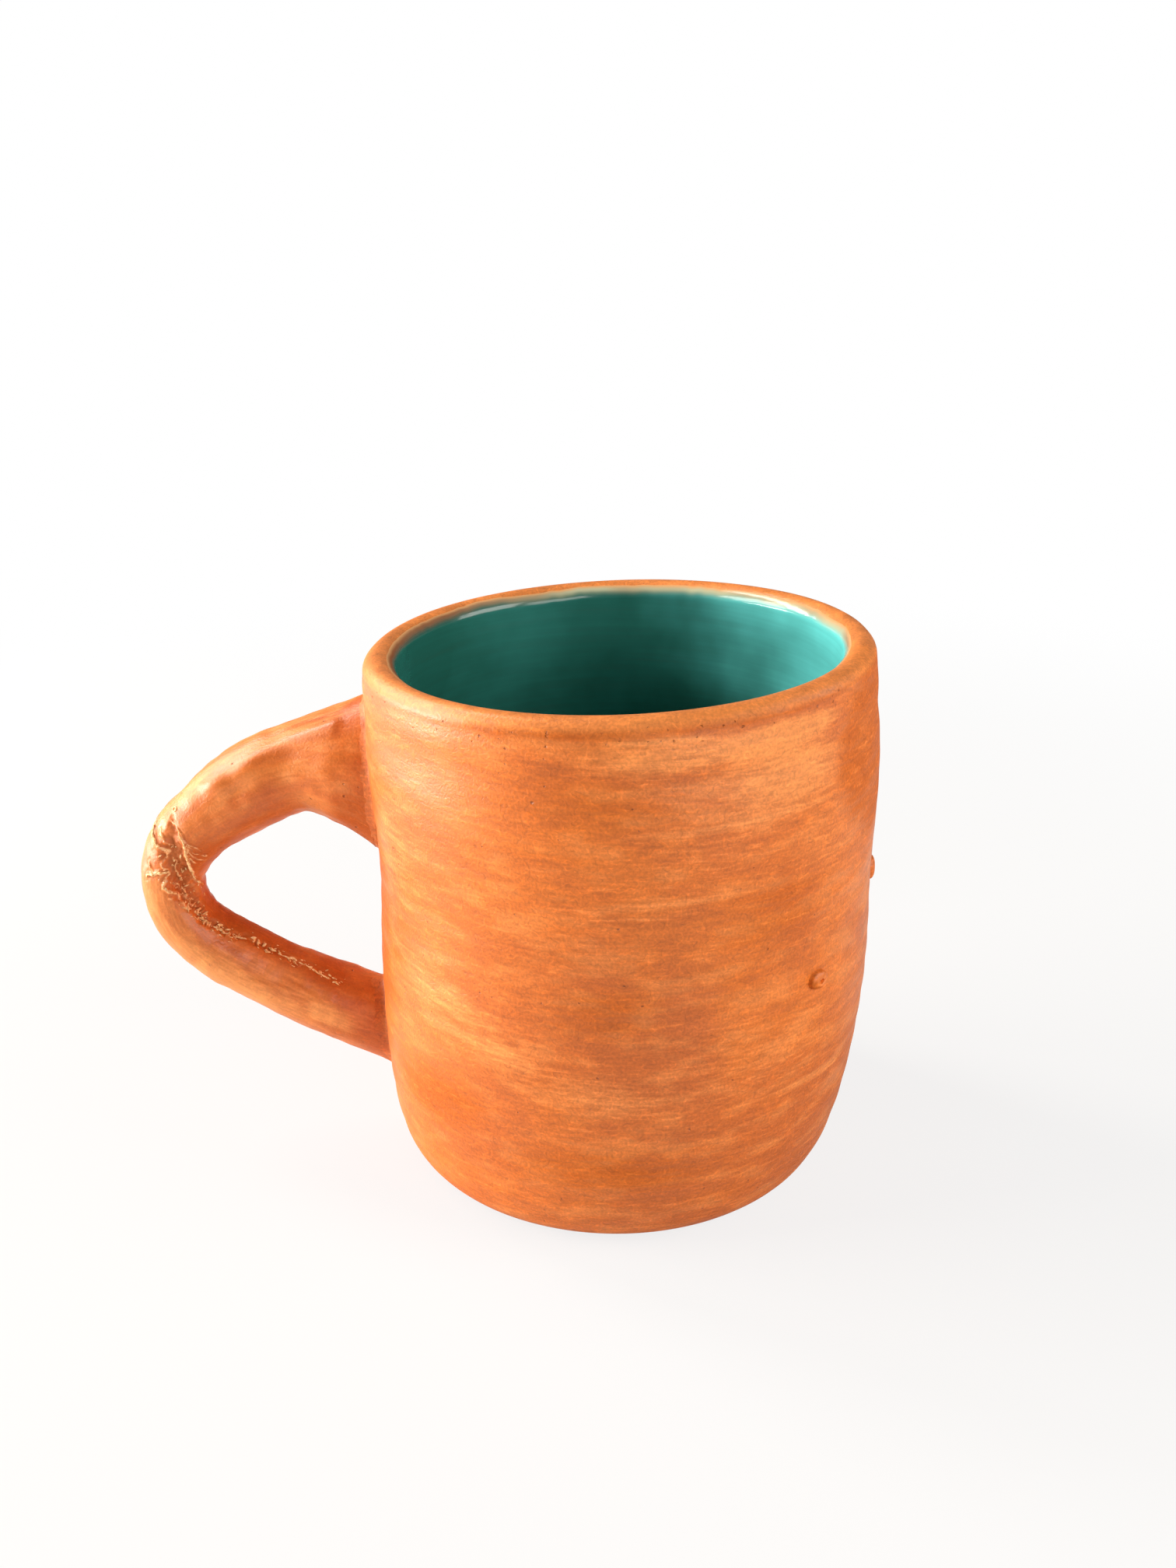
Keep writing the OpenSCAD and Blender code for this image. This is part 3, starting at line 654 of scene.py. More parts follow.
for line, width, depth in handle["folds"]:
    linePlaces, lineTurns = np.array(line).T
    roundMm = apart(turns, np.radians(np.interp(places, linePlaces, lineTurns))[:, None]) * radii
    ends = ease((places - linePlaces[0]) / handle["foldFade"])
    ends = ends * ease((linePlaces[-1] - places) / handle["foldFade"])
    drawnIn = drawnIn + depth * np.exp(-(roundMm / width) ** 2) * ends[:, None]
drawnIn = (drawnIn + handle["lumpDepth"] * lumps(unrolled, handle["lumpSize"], 26)
           + handle["dimpleDepth"] * lumps(unrolled, handle["dimpleSize"], 27))
calm = ease((np.minimum(places, 1 - places) - handle["calmRoot"]) / handle["calmFade"])  # none at the roots
coil = coilRings(places, turns, drawnIn * calm[:, None])
capShares = np.linspace(0, 1, 5)[1:-1]
still = np.zeros((1, len(turns)))
caps = {arm: [armRings(handle[arm], np.zeros(1), turns, still, s)[0] for s in capShares]
        for arm in ("upper", "lower")}
coilAll = np.concatenate([caps["upper"], coil, caps["lower"][::-1]])
padding = ((len(capShares), len(capShares)), (0, 0))
inShadow = np.maximum.reduce([trough * openShare, 0.7 * seam * (0.1 - crumple), 0.45 * creviced])
coilFields = {
    # the torn field is painted shade for the tear's trough, the seam's hollows and the crevices beside the
    # wrinkles
    "torn": np.clip(inShadow - wrinkled, 0, 1),
    "flaked": np.maximum.reduce([0.6 * outerEdge * flakes * openShare, seam * crumple, 0.9 * wrinkled]),
    # the wash and bare fields on the handle carry its painted light and shade as well as its wash and rubbed
    # patches
    "wash": spots(handle["washAndLitSpots"]), "bare": spots(handle["bareAndShadedSpots"]),
}
coilFields = {key: np.pad(values, padding) for key, values in coilFields.items()}
coilFields["unrolled"] = np.pad(unrolled, padding + ((0, 0),), mode="edge")
ends = {arm: onWall(math.pi, 0.0, handle[arm]["root"], handle["slip"]) for arm in ("upper", "lower")}
coilHandle = loftPiece(
    "coilHandle", thrown(ends["upper"]), thrown(coilAll), thrown(ends["lower"]), coilFields)
coil = thrown(coil)
coilNormals = np.cross(np.roll(coil, -1, axis=1) - np.roll(coil, 1, axis=1), np.gradient(coil, axis=0))
coilNormals *= np.sign(((coil - coil.mean(axis=1, keepdims=True)) * coilNormals).sum(-1))[..., None]
coilNormals /= np.linalg.norm(coilNormals, axis=-1, keepdims=True)


def onCoil(place, degrees):  # the handle's skin and its normal at places and turns
    ring = np.clip(np.interp(place, places, np.arange(len(places))), 0, len(places) - 1.001)
    column = np.asarray(degrees) / 360 * len(turns) % len(turns)
    ring0, column0 = ring.astype(int), column.astype(int)
    column1 = (column0 + 1) % len(turns)
    r, c = (ring - ring0)[:, None], (column - column0)[:, None]
    return [mix(mix(grid[ring0, column0], grid[ring0, column1], c),
                mix(grid[ring0 + 1, column0], grid[ring0 + 1, column1], c), r)
            for grid in (coil, coilNormals)]


# Threads, splinters and crumbs of dry clay along the tear
tearBits = {
    # raised threads of clay: thickness, lift, then places and turns
    "threads": [
        (0.17, 0.12, [(0.345, 111), (0.356, 92), (0.385, 71), (0.421, 48), (0.465, 27), (0.50, 10)]),
        (0.22, 0.18, [(0.376, 162), (0.386, 146), (0.395, 124)]),
        (0.24, 0.32, [(0.434, 88), (0.440, 98), (0.452, 112), (0.463, 128)]),
        (0.22, 0.20, [(0.474, 90), (0.486, 84), (0.499, 68)]),
        (0.24, 0.25, [(0.546, 64), (0.556, 57), (0.571, 49)]),
        (0.20, 0.10, [(0.585, 46), (0.61, 42), (0.64, 41), (0.655, 38)]),
        (0.19, 0.10, [(0.665, 40), (0.69, 36), (0.71, 37), (0.725, 33)]),
        (0.18, 0.08, [(0.73, 29), (0.75, 31), (0.765, 27)]),
        (0.17, 0.08, [(0.835, 27), (0.855, 24), (0.875, 28)]),
        (0.14, 0.08, [(0.88, 28), (0.905, 32), (0.93, 34)]),
    ],
    "sides": 8, "spacing": 0.2, "flatness": 1.3, "bluntness": 0.45, "knottiness": 0.35, "jitter": 0.07,
    "crumbs": 140, "crumbsFrom": 0.37, "crumbsTo": 0.95, "smallest": 0.09, "largest": 0.3, "mostlySmall": 2.5,
    "crumbSpread": 0.75, "crumbTurn": 0.55, "crumbBumps": 0.22, "seed": 51,
    "sunk": 0.3,  # the share of a bit's size that lies under the skin
    "crumbShape": ((1.2, 2.6), (0.5, 0.9), (0.4, 0.7)),  # the least and most length, width and thickness
    "bigCrumbs": [(0.818, 24, 0.38), (0.559, 55, 0.36), (0.463, 126, 0.28), (0.745, 30, 0.26),
                  (0.69, 37, 0.26)],
    "pimple": (0.326, 142, 0.42, 0.13),  # a burst bubble: place, turn, ring radius, thickness
    "pimplePoints": 20, "pimpleSides": 8,
}
bitPoints, bitFaces, bitCount = [], [], 0
for number, (thickness, lift, line) in enumerate(tearBits["threads"]):
    linePlaces, lineTurns = np.array(line).T
    rough, _ = onCoil(linePlaces, lineTurns)
    steps = np.linspace(0, 1, max(6, round(lengthAlong(rough)[-1] / tearBits["spacing"])))
    knots = lengthAlong(rough) / lengthAlong(rough)[-1]
    middle, normal = onCoil(np.interp(steps, knots, linePlaces), np.interp(steps, knots, lineTurns))
    jitter = np.stack([lumps(middle, 1.6, 70 + 3 * number + k) for k in range(3)], axis=-1)
    girth = thickness * np.sin(math.pi * np.clip(steps, 0.04, 0.96)) ** tearBits["bluntness"]
    girth = girth * (1 + tearBits["knottiness"] * lumps(middle, 0.9, 90 + number))
    raised = lift * np.sin(math.pi * steps)[:, None] * (1 + jitter[:, :1])
    middle = middle + normal * (raised - tearBits["sunk"] * thickness) + tearBits["jitter"] * jitter
    forward = np.gradient(middle, axis=0)
    forward /= np.linalg.norm(forward, axis=1)[:, None]
    sideways = np.cross(forward, normal)
    a = np.arange(tearBits["sides"]) * circle / tearBits["sides"]
    tube = middle[:, None] + girth[:, None, None] * (
        normal[:, None] * np.cos(a)[:, None] + sideways[:, None] * np.sin(a)[:, None] * tearBits["flatness"])
    count = len(tube)
    bitPoints += [tube.reshape(-1, 3), middle[[0, -1]]]
    bitFaces += ringFaces(count, tearBits["sides"], bitCount).tolist()
    start, end = bitCount + count * tearBits["sides"], bitCount + count * tearBits["sides"] + 1
    for k in range(tearBits["sides"]):
        after = (k + 1) % tearBits["sides"]
        bitFaces.append((start, bitCount + after, bitCount + k))
        bitFaces.append((end, start - tearBits["sides"] + k, start - tearBits["sides"] + after))
    bitCount = end + 1
tearThreads = meshPiece("tearThreads", np.concatenate(bitPoints), bitFaces)
turnOutwards(tearThreads)

chance = np.random.default_rng(tearBits["seed"])
crumbList = list(tearBits["bigCrumbs"])
for _ in range(tearBits["crumbs"]):
    place = chance.uniform(tearBits["crumbsFrom"], tearBits["crumbsTo"])
    side = chance.normal(0.1, tearBits["crumbSpread"])
    ring = np.searchsorted(places, place)
    degrees = creaseTurn[ring] + math.degrees(side * creaseWidth[ring, 0] / radii[ring, 0])
    size = mix(tearBits["smallest"], tearBits["largest"], chance.random() ** tearBits["mostlySmall"])
    crumbList.append((place, degrees, size))
work = bmesh.new()
for place, degrees, size in crumbList:
    (point,), (normal,) = onCoil(np.array([place]), np.array([degrees]))
    (ahead,), _ = onCoil(np.array([place + 0.01]), np.array([degrees]))
    side = Vector(normal).cross(Vector(ahead - point)).normalized()
    upright = Matrix((side.cross(Vector(normal)), side, Vector(normal))).transposed()
    spin = Matrix.Rotation(chance.normal(0, tearBits["crumbTurn"]), 3, "Z")  # most lie along the coil
    stretch = Matrix.Diagonal(Vector([chance.uniform(*ends) for ends in tearBits["crumbShape"]]))
    shape = (upright @ spin @ stretch * size).to_4x4()
    moved = Matrix.Translation(Vector(point + normal * size * tearBits["sunk"])) @ shape
    for vertex in bmesh.ops.create_icosphere(work, subdivisions=2, radius=1.0)["verts"]:
        bumpy = math.sin(7 * vertex.co.x + 50 * place) * math.cos(6 * vertex.co.y + 3 * vertex.co.z)
        vertex.co = (moved @ (vertex.co * (1 + tearBits["crumbBumps"] * bumpy))) * metresPerMm
place, degrees, ringRadius, thickness = tearBits["pimple"]
(point,), (normal,) = onCoil(np.array([place]), np.array([degrees]))
upright = Vector(normal).to_track_quat("Z", "Y").to_matrix().to_4x4()
ringVerts, sidesRound = tearBits["pimplePoints"], tearBits["pimpleSides"]
loop = []
for i in range(ringVerts):
    a = circle * i / ringVerts
    wave = 1 + 0.12 * math.sin(2 * a + 1)
    for k in range(sidesRound):
        b = circle * k / sidesRound
        r = ringRadius * wave + thickness * math.cos(b)
        corner = upright @ Vector((r * math.cos(a), r * math.sin(a), 0.02 + thickness * math.sin(b)))
        loop.append(work.verts.new((corner + Vector(point)) * metresPerMm))
for i in range(ringVerts):
    for k in range(sidesRound):
        j, m = (i + 1) % ringVerts, (k + 1) % sidesRound
        work.faces.new([loop[i * sidesRound + k], loop[j * sidesRound + k], loop[j * sidesRound + m],
                        loop[i * sidesRound + m]])
crumbMesh = bpy.data.meshes.new("tearCrumbs")
work.to_mesh(crumbMesh)
work.free()
tearCrumbs = bpy.data.objects.new("tearCrumbs", crumbMesh)
bpy.context.scene.collection.objects.link(tearCrumbs)
turnOutwards(tearCrumbs)

# Slip joints: soft fillets of wet clay, smeared into the corner between the coil's ends and the wall
slipJoint = {
    "spread": 0.5, "overEdge": 0.1, "overOut": 0.75, "rise": 0.024, "unevenness": 0.4, "seatGap": 0.02,
    "sunk": 0.05, "pointsAround": 200, "stepsAcross": 9, "foldBand": 0.02,
    "smearSize": 5.0, "lumpSize": 1.7, "lumpDepth": 0.03,
}
slipTurns = np.arange(slipJoint["pointsAround"]) * circle / slipJoint["pointsAround"]


def padRing(arm, spread, out):  # a ring that follows the coil's end, lying `out` from the wall
    tall, wide = coilHalf(arm, np.zeros(1))
    front = np.sin(slipTurns) * (wide + spread)
    z = arm["root"] - arm["side"] * np.cos(slipTurns) * (tall + spread)
    return onWall(math.pi, front, z, out)


slipPieces = {}
for name in ("upper", "lower"):
    arm = handle[name]
    tall, wide = coilHalf(arm, np.zeros(1))
    edgePoints = padRing(arm, 0.0, 0.0)
    uneven = 1 + slipJoint["unevenness"] * lumps(edgePoints, slipJoint["smearSize"], 33)
    sunk = np.full((1, slipJoint["pointsAround"]), slipJoint["sunk"])
    low, high = [armRings(arm, np.array([slipJoint["rise"] * s]), slipTurns, sunk)[0] for s in (0.6, 1.4)]
    onWallRing = padRing(arm, slipJoint["spread"] * uneven, slipJoint["seatGap"])
    corner = padRing(arm, slipJoint["overEdge"], handle["slip"] * slipJoint["overOut"])
    onCoilRing = mix(low, high, ease((uneven - 0.5)[:, None]))
    rings = [padRing(arm, -tall[0] * s, slipJoint["seatGap"]) for s in (0.6, 0.2)]
    # the hollow fillet, from the wall to the coil, with its fold on the wall kept to a thin band
    steps = np.linspace(0, 1, slipJoint["stepsAcross"])
    for share in np.concatenate([steps[:1], [slipJoint["foldBand"]], steps[1:]]):
        rings.append(mix(mix(onWallRing, corner, share), mix(corner, onCoilRing, share), share))
    rings.append(armRings(arm, np.array([2.4 * slipJoint["rise"]]), slipTurns, 5 * sunk)[0])
    rings += [padRing(arm, -tall[0] * s, handle["slip"]) for s in (0.2, 0.6)]
    rings = np.array(rings)
    wobble = slipJoint["lumpDepth"] * lumps(rings, slipJoint["lumpSize"], 31)
    wobble[:2] = 0
    wobble[-3:] = 0
    away = rings - rings.mean(axis=1, keepdims=True)
    rings = rings + away / np.linalg.norm(away, axis=-1, keepdims=True) * wobble[..., None]
    start = onWall(math.pi, 0.0, arm["root"], slipJoint["seatGap"])
    slipPieces[name] = loftPiece(name + "Slip", thrown(start), thrown(rings), thrown(ends[name]))

# Clay pips that stuck to the wall
pips = {
    "frontPip": {"angle": -46.0, "height": 45.6, "radius": 1.5, "wide": 1.3, "out": 1.15, "hole": 0.45,
                 "shadedCrescent": 0.9},
    "sidePip": {"angle": -3.0, "height": 51.7, "radius": 2.0, "wide": 1.0, "out": 1.1, "hole": 0.0,
                "shadedCrescent": 0.0},
    "pointsAround": 48, "domeRings": 9, "sunk": 0.15, "skirt": 1.2, "squareness": 0.75, "lumpSize": 2.0,
    "lumpDepth": 0.09, "shadedCrescentSide": 225.0, "holeDepth": 0.85,
}
around = np.arange(pips["pointsAround"]) * circle / pips["pointsAround"]
pipPieces = {}
for name in ("frontPip", "sidePip"):
    values = pips[name]
    angle, hole = math.radians(values["angle"]), values["hole"] / values["radius"]
    # rings of (share of the radius, share of the height), from under the skin to the top
    profile = [(s, -pips["sunk"]) for s in (0.5, 1.0)]
    profile += [(mix(pips["skirt"], 1, s), mix(-pips["sunk"], pips["sunk"], s)) for s in (0.3, 0.7)]
    profile += [(math.cos(a) ** pips["squareness"], mix(pips["sunk"], 1, math.sin(a) ** pips["squareness"]))
                for a in np.linspace(0.15, 1.35, pips["domeRings"])]
    if hole:
        profile = [p for p in profile if p[0] > hole or p[1] < 0.5]
        profile += [(hole, 1.0), (hole * 0.9, 0.85), (hole * 0.8, 0.2)]
    rings = []
    for r, out in profile:
        side = r * values["radius"] * values["wide"] * np.cos(around)
        z = values["height"] + r * values["radius"] * np.sin(around)
        rings.append(onWall(angle, side, z, out * values["out"]))
    rings = np.array(rings)
    lumpy = pips["lumpDepth"] * lumps(rings, pips["lumpSize"], 41)
    rings = rings + lumpy[..., None] * (rings - rings.mean((0, 1)))
    base = onWall(angle, 0.0, values["height"], -0.2)
    top = onWall(angle, 0.0, values["height"], values["out"] * (1 - pips["holeDepth"] * (hole > 0)))
    # painted shade: the pip's lower-left side is given the darker bare colour where it faces away from the
    # light
    shadedCrescent = values["shadedCrescent"] * np.clip(1.3 * np.cos(around - math.radians(pips["shadedCrescentSide"])), 0, 1)
    outer = np.array([0.5 < r < 1.1 for r, _ in profile])[:, None]
    pipPieces[name] = loftPiece(name, thrown(base), thrown(rings), thrown(top), {
        "wash": brushed(rings, "wash") * ~outer, "bare": np.maximum(brushed(rings, "bare"), shadedCrescent * outer)})
print("shapes made")

# Terracotta: low-fired red earthenware, burnished with a damp rib and brushed with a thin pale wash.
# To the eye it is satin and warm orange, with faint wiping streaks, soft pale strokes and pinholes.
# A range is a pattern's values from and to, and then what they become.
terracotta = {
    "clay": "#d06c1e", "redClay": "#c1611f", "wash": "#e58a43", "bareClay": "#b85a1a", "lip": "#e68d48",
    # the pit colour is painted shade inside the pinholes
    "pit": "#8a4312", "roughness": (0.37, 0.5), "ior": 1.5, "specular": 0.5,
    "bareRoughness": 0.2, "bareSpecular": -0.4,  # what a rubbed patch adds
    # marks in the skin, in millimetres
    "blush": 26.0, "wipeWidth": 2.4, "wipeLength": 16.0, "bristleWidth": 0.55, "bristleLength": 3.6,
    "grain": 0.42, "mottleWidth": 3.0, "mottleLength": 9.0, "scratchWidth": 1.25, "scratchLength": 1.75,
    "wipeTilt": 0.05, "bristleTilt": -0.04,
    # curled scratches: the noise's level along them, half width, then where they show
    "paleScratch": (0.5, 0.07, 0.4, 0.55), "darkScratch": (0.44, 0.05, 0.45, 0.6),
    "blushRange": (0.38, 0.62, 0, 1), "mottleRed": (0.47, 0.7, 0, 0.46), "mottlePale": (0.53, 0.32, 0, 0.38),
    "washRange": (0.12, 0.85, 0, 0.92), "bareRange": (0.12, 0.85, 0, 0.75),
    "paleBristles": (0.56, 0.72, 0, 0.3), "paleWipes": (0.4, 0.6, 0, 1), "roughWipes": (0.3, 0.7),
    "fray": 0.9, "frayAtEdge": 0.4,  # how far bristles fray a stroke, and the share of that at its edge
    # how much lighter and darker each makes the skin, and the half range of its noise
    "bristleShade": (0.1, 0.2), "wipeShade": (0.03, 0.2), "grainShade": (0.12, 0.25), "scratchShade": 0.16,
    "bristleDepth": 0.03, "grainDepth": 0.045, "wipeDepth": 0.05, "scratchDepth": 0.01,
    "lipShare": 0.6, "lipDrops": (2.4, 0.9),  # how far below the rim the lip's paler skin starts and is full; that skin is partly painted top light and highlight on the upward-facing lip
    "pitSpacing": 0.95, "pitRadius": 0.3, "lipPitSize": 0.35, "pitEdge": 0.4, "pitStray": 0.5, "pitShade": 0.8,
    "pitDepth": 0.15, "pitShare": 0.025, "rimPitShare": 0.5, "rimPitDrops": (6.0, 2.5),
}


def makeTerracotta(name, values, coil=False):
    material, add = newMaterial(name)
    place = add("TexCoord").outputs["Object"]
    mm = add("VectorMath", {0: place, "Scale": 1 / metresPerMm}, operation="SCALE")
    run = add("Attribute", attribute_name="unrolled").outputs["Vector"] if coil else mm

    def streaks(mark, tilt, detail):  # long thin noise, along the coil or round the pot
        thin, long = 1 / values[mark + "Width"], 1 / values[mark + "Length"]
        scale = (long, thin, thin) if coil else (long, long, thin)
        mapped = add("Mapping", {"Vector": run, "Rotation": (0, tilt, 0), "Scale": scale})
        return add("TexNoise", {"Vector": mapped, "Scale": 1.0, "Detail": detail})

    wipe = streaks("wipe", values["wipeTilt"], 3.0)
    bristle = streaks("bristle", values["bristleTilt"], 3.0)
    mottle = streaks("mottle", values["wipeTilt"], 3.0)
    swirl = streaks("scratch", 0.0, 0.0)
    blush = add("TexNoise", {"Vector": mm, "Scale": 1 / values["blush"], "Detail": 4.0})
    grain = add("TexNoise", {"Vector": mm, "Scale": 1 / values["grain"], "Detail": 1.0})

    green = add("SeparateColor", [swirl.outputs["Color"]]).outputs[1]
    lines = []
    for noise, other, key in ((swirl, green, "paleScratch"), (green, swirl, "darkScratch")):
        level, halfWidth, shownFrom, shownTo = values[key]
        off = add("Math", [add("Math", [noise, level], operation="SUBTRACT")], operation="ABSOLUTE")
        line = add("MapRange", [off, 0, halfWidth, 1, 0], **smooth)
        shown = add("MapRange", [other, shownFrom, shownTo], **smooth)
        lines.append(add("Math", [line, shown], operation="MULTIPLY"))
    scratch = add("Math", lines, operation="SUBTRACT")

    redder = add("MapRange", [blush, *values["blushRange"]], **smooth)
    colour = add("Mix", {0: redder, 6: values["clay"], 7: values["redClay"]}, **ofColours)
    for key, paint in (("mottleRed", "bareClay"), ("mottlePale", "wash")):
        patch = add("MapRange", [mottle, *values[key]], **smooth)
        colour = add("Mix", {0: patch, 6: colour, 7: values[paint]}, **ofColours)
    # strokes of wash and rubbed patches, with edges that the bristles fray; some strokes on the pot and most
    # spots on the handle are also painted light and shade
    fray = add("Math", [bristle, wipe])
    fray = add("Math", [fray, values["fray"], -values["fray"]], operation="MULTIPLY_ADD")
    layers = {}
    for key, paint in (("wash", "wash"), ("bare", "bareClay")):
        laid = add("Attribute", attribute_name=key).outputs["Fac"]
        loose = add("MapRange", [laid, 0, 1, values["frayAtEdge"], 1], clamp=False)
        laid = add("Math", [fray, loose, laid], operation="MULTIPLY_ADD")
        layers[key] = add("MapRange", [laid, *values[key + "Range"]], **smooth)
        colour = add("Mix", {0: layers[key], 6: colour, 7: values[paint]}, **ofColours)
    # the height, level with the tipped rim
    up = add("VectorMath", [mm, (-pot["rimRise"] / pot["rimDiameter"], 0, 1)], operation="DOT_PRODUCT")
    lipHeights = [pot["height"] - drop for drop in values["lipDrops"]]
    # the lip is painted paler: partly its own paler skin, partly painted top light and highlight where it
    # faces up
    if not coil:
        onLitLip = add("MapRange", [up, *lipHeights, 0, values["lipShare"]], **smooth)
        colour = add("Mix", {0: onLitLip, 6: colour, 7: values["lip"]}, **ofColours)
    pale = add("MapRange", [bristle, *values["paleBristles"]], **smooth)
    pale = add("Math", [pale, add("MapRange", [wipe, *values["paleWipes"]], **smooth)], operation="MULTIPLY")
    colour = add("Mix", {0: pale, 6: colour, 7: values["wash"]}, **ofColours)
    shade = add("Math", [scratch, values["scratchShade"], 1], operation="MULTIPLY_ADD")
    for noise, key in ((bristle, "bristleShade"), (wipe, "wipeShade"), (grain, "grainShade")):
        amount, half = values[key]
        lighter = add("MapRange", [noise, 0.5 - half, 0.5 + half, 1 - amount, 1 + amount], **smooth)
        shade = add("Math", [shade, lighter], operation="MULTIPLY")
    colour = add("VectorMath", {0: colour, "Scale": shade}, operation="SCALE")

    # pinholes, where grit dropped out of the wall, most of them near the rim, each darkened with painted
    # shade inside it
    stray = [values["pitStray"]] * 3
    strayed = add("VectorMath", [grain.outputs["Color"], stray, mm], operation="MULTIPLY_ADD")
    cells = add("TexVoronoi", {"Vector": strayed, "Scale": 1 / values["pitSpacing"]})
    chosen = add("SeparateColor", [cells.outputs["Color"]]).outputs
    size = add("Math", [chosen[1], values["pitRadius"] / values["pitSpacing"]], operation="MULTIPLY")
    smaller = add("MapRange", [up, *lipHeights, 1, values["lipPitSize"]], **smooth)
    size = add("Math", [size, smaller], operation="MULTIPLY")
    full = add("Math", [size, values["pitEdge"]], operation="MULTIPLY")
    inPit = add("MapRange", [cells.outputs["Distance"], size, full])
    pitHeights = [pot["height"] - drop for drop in values["rimPitDrops"]]
    some = add("MapRange", [up, *pitHeights, values["pitShare"], values["rimPitShare"]], **smooth)
    isPit = add("Math", [chosen[0], some], operation="LESS_THAN")
    pit = add("Math", [inPit, isPit], operation="MULTIPLY")
    dark = add("Math", [pit, values["pitShade"]], operation="MULTIPLY")
    colour = add("Mix", {0: dark, 6: colour, 7: values["pit"]}, **ofColours)
    height = add("Math", [pit, -values["pitDepth"]], operation="MULTIPLY")
    for noise, key in ((bristle, "bristle"), (grain, "grain"), (wipe, "wipe"), (scratch, "scratch")):
        height = add("Math", [noise, values[key + "Depth"], height], operation="MULTIPLY_ADD")
    roughness = add("MapRange", [wipe, *values["roughWipes"], *values["roughness"]], **smooth)
    bare = layers["bare"]  # rubbed patches are matt
    roughness = add("Math", [bare, values["bareRoughness"], roughness], operation="MULTIPLY_ADD")
    specular = add("Math", [bare, values["bareSpecular"], values["specular"]], operation="MULTIPLY_ADD")
    if coil:  # the tear is rough, with pale flakes; its trough, the seam's hollows and the crevices beside the wrinkles are darkened, partly the torn clay's own colour and partly painted shade
        torn = add("Attribute", attribute_name="torn").outputs["Fac"]
        tearShade = add("MapRange", [torn, *values["tornRange"]], **smooth)
        colour = add("Mix", {0: tearShade, 6: colour, 7: values["tornClayAndShade"]}, **ofColours)
        roughness = add("Mix", {0: torn, 2: roughness, 3: values["tornRoughness"]})
        flaked = add("Attribute", attribute_name="flaked").outputs["Fac"]
        onFlake = add("MapRange", [flaked, *values["flakeRange"]], **smooth)
        broken = add("MapRange", [grain, *values["flakeGrain"]], **smooth)
        onFlake = add("Math", [onFlake, broken], operation="MULTIPLY")
        colour = add("Mix", {0: onFlake, 6: colour, 7: values["flake"]}, **ofColours)
    bump = add("Bump", {"Height": height, "Distance": metresPerMm, "Strength": 1.0})
    shader = add("BsdfPrincipled", {
        "Base Color": colour, "Roughness": roughness, "Normal": bump, "IOR": values["ior"],
        "Specular IOR Level": specular})
    add("OutputMaterial", {"Surface": shader})
    return material


brushedTerracotta = makeTerracotta("brushedTerracotta", terracotta)
rolledTerracotta = makeTerracotta("rolledTerracotta", {
    **terracotta, "clay": "#d0702a", "redClay": "#c46524", "bareClay": "#b0521c", "wash": "#e4924e",
    "tornClayAndShade": "#ad5a24", "tornRoughness": 0.75, "tornRange": (0.15, 0.9, 0, 0.8), "roughness": (0.35, 0.48),
    "flake": "#f0b87e", "flakeRange": (0.2, 0.8, 0, 1), "flakeGrain": (0.32, 0.52, 0, 1),
    "blush": 14.0, "wipeWidth": 1.8, "wipeLength": 14.0, "bristleLength": 4.0,
    "bristleShade": (0.06, 0.2), "grainShade": (0.07, 0.25), "scratchShade": 0.09,
    "pitSpacing": 1.2, "pitShare": 0.06, "rimPitShare": 0.06}, coil=True)
driedSlip = makeTerracotta("driedSlip", {
    **terracotta, "clay": "#cc6c28", "redClay": "#bf6022", "wash": "#d88240", "blush": 4.0, "wipeLength": 5.0,
    "pitShare": 0.12, "rimPitShare": 0.12, "roughness": (0.45, 0.58), "lipShare": 0.0})

# Dry crumbs and threads of unwashed clay, matt and paler than the burnished skin round them
dryClay = {
    "colour": "#f6d29a", "dark": "#d08a48", "roughness": 0.75, "speckle": 0.5, "speckleRange": (0.4, 0.65),
}
dryTornClay, add = newMaterial("dryTornClay")
place = add("TexCoord").outputs["Object"]
speckle = add("TexNoise", {"Vector": place, "Scale": 1 / (dryClay["speckle"] * metresPerMm)})
darker = add("MapRange", [speckle, *dryClay["speckleRange"]])
colour = add("Mix", {0: darker, 6: dryClay["colour"], 7: dryClay["dark"]}, **ofColours)
shader = add("BsdfPrincipled", {"Base Color": colour, "Roughness": dryClay["roughness"]})
add("OutputMaterial", {"Surface": shader})

# Turquoise glaze: a copper glass over the clay, glossy and deep, thinning to a pale grey-green edge
turquoise = {
    "deep": "#215b50", "body": "#2c6f65", "pale": "#68d4d2", "thin": "#b9b694", "edge": "#dda066",
    "brown": "#8a4a1c",  # the thin edge where no cream shows, darkened partly with painted shade on the shaded left side
    "roughness": 0.16, "thinRoughness": 0.65, "ior": 1.5,
    "cloud": 20.0, "cloudRange": (0.35, 0.65), "streakWidth": 1.0, "streakLength": 26.0, "streakTilt": -0.12,
    "streakDepth": 0.02, "streakRange": (0.3, 0.7, 0.94, 1.07), "streakStray": 0.15,
    # paler up one side of the wall, from one point to another: partly a thinner glaze there and partly
    # painted light on the side of the inner wall that faces the window
    "thinAndLitFrom": (2, 0, 55), "thinAndLitTo": (40, -4, 78), "thinAndLitStray": 0.6, "thinAndLitRange": (0.66, 1.42),
    # the coat's thickness over which its full colour, its thin edge and its gloss come in
    "fullRange": (0.5, 1.08), "edgeRange": (0.14, 0.55), "glossFrom": (-0.75, 0.6), "glossTo": (-0.85, 0.95),
}
turquoiseGlaze, add = newMaterial("turquoiseGlaze")
place = add("TexCoord").outputs["Object"]
mm = add("VectorMath", {0: place, "Scale": 1 / metresPerMm}, operation="SCALE")
cloud = add("TexNoise", {"Vector": mm, "Scale": 1 / turquoise["cloud"], "Detail": 3.0})
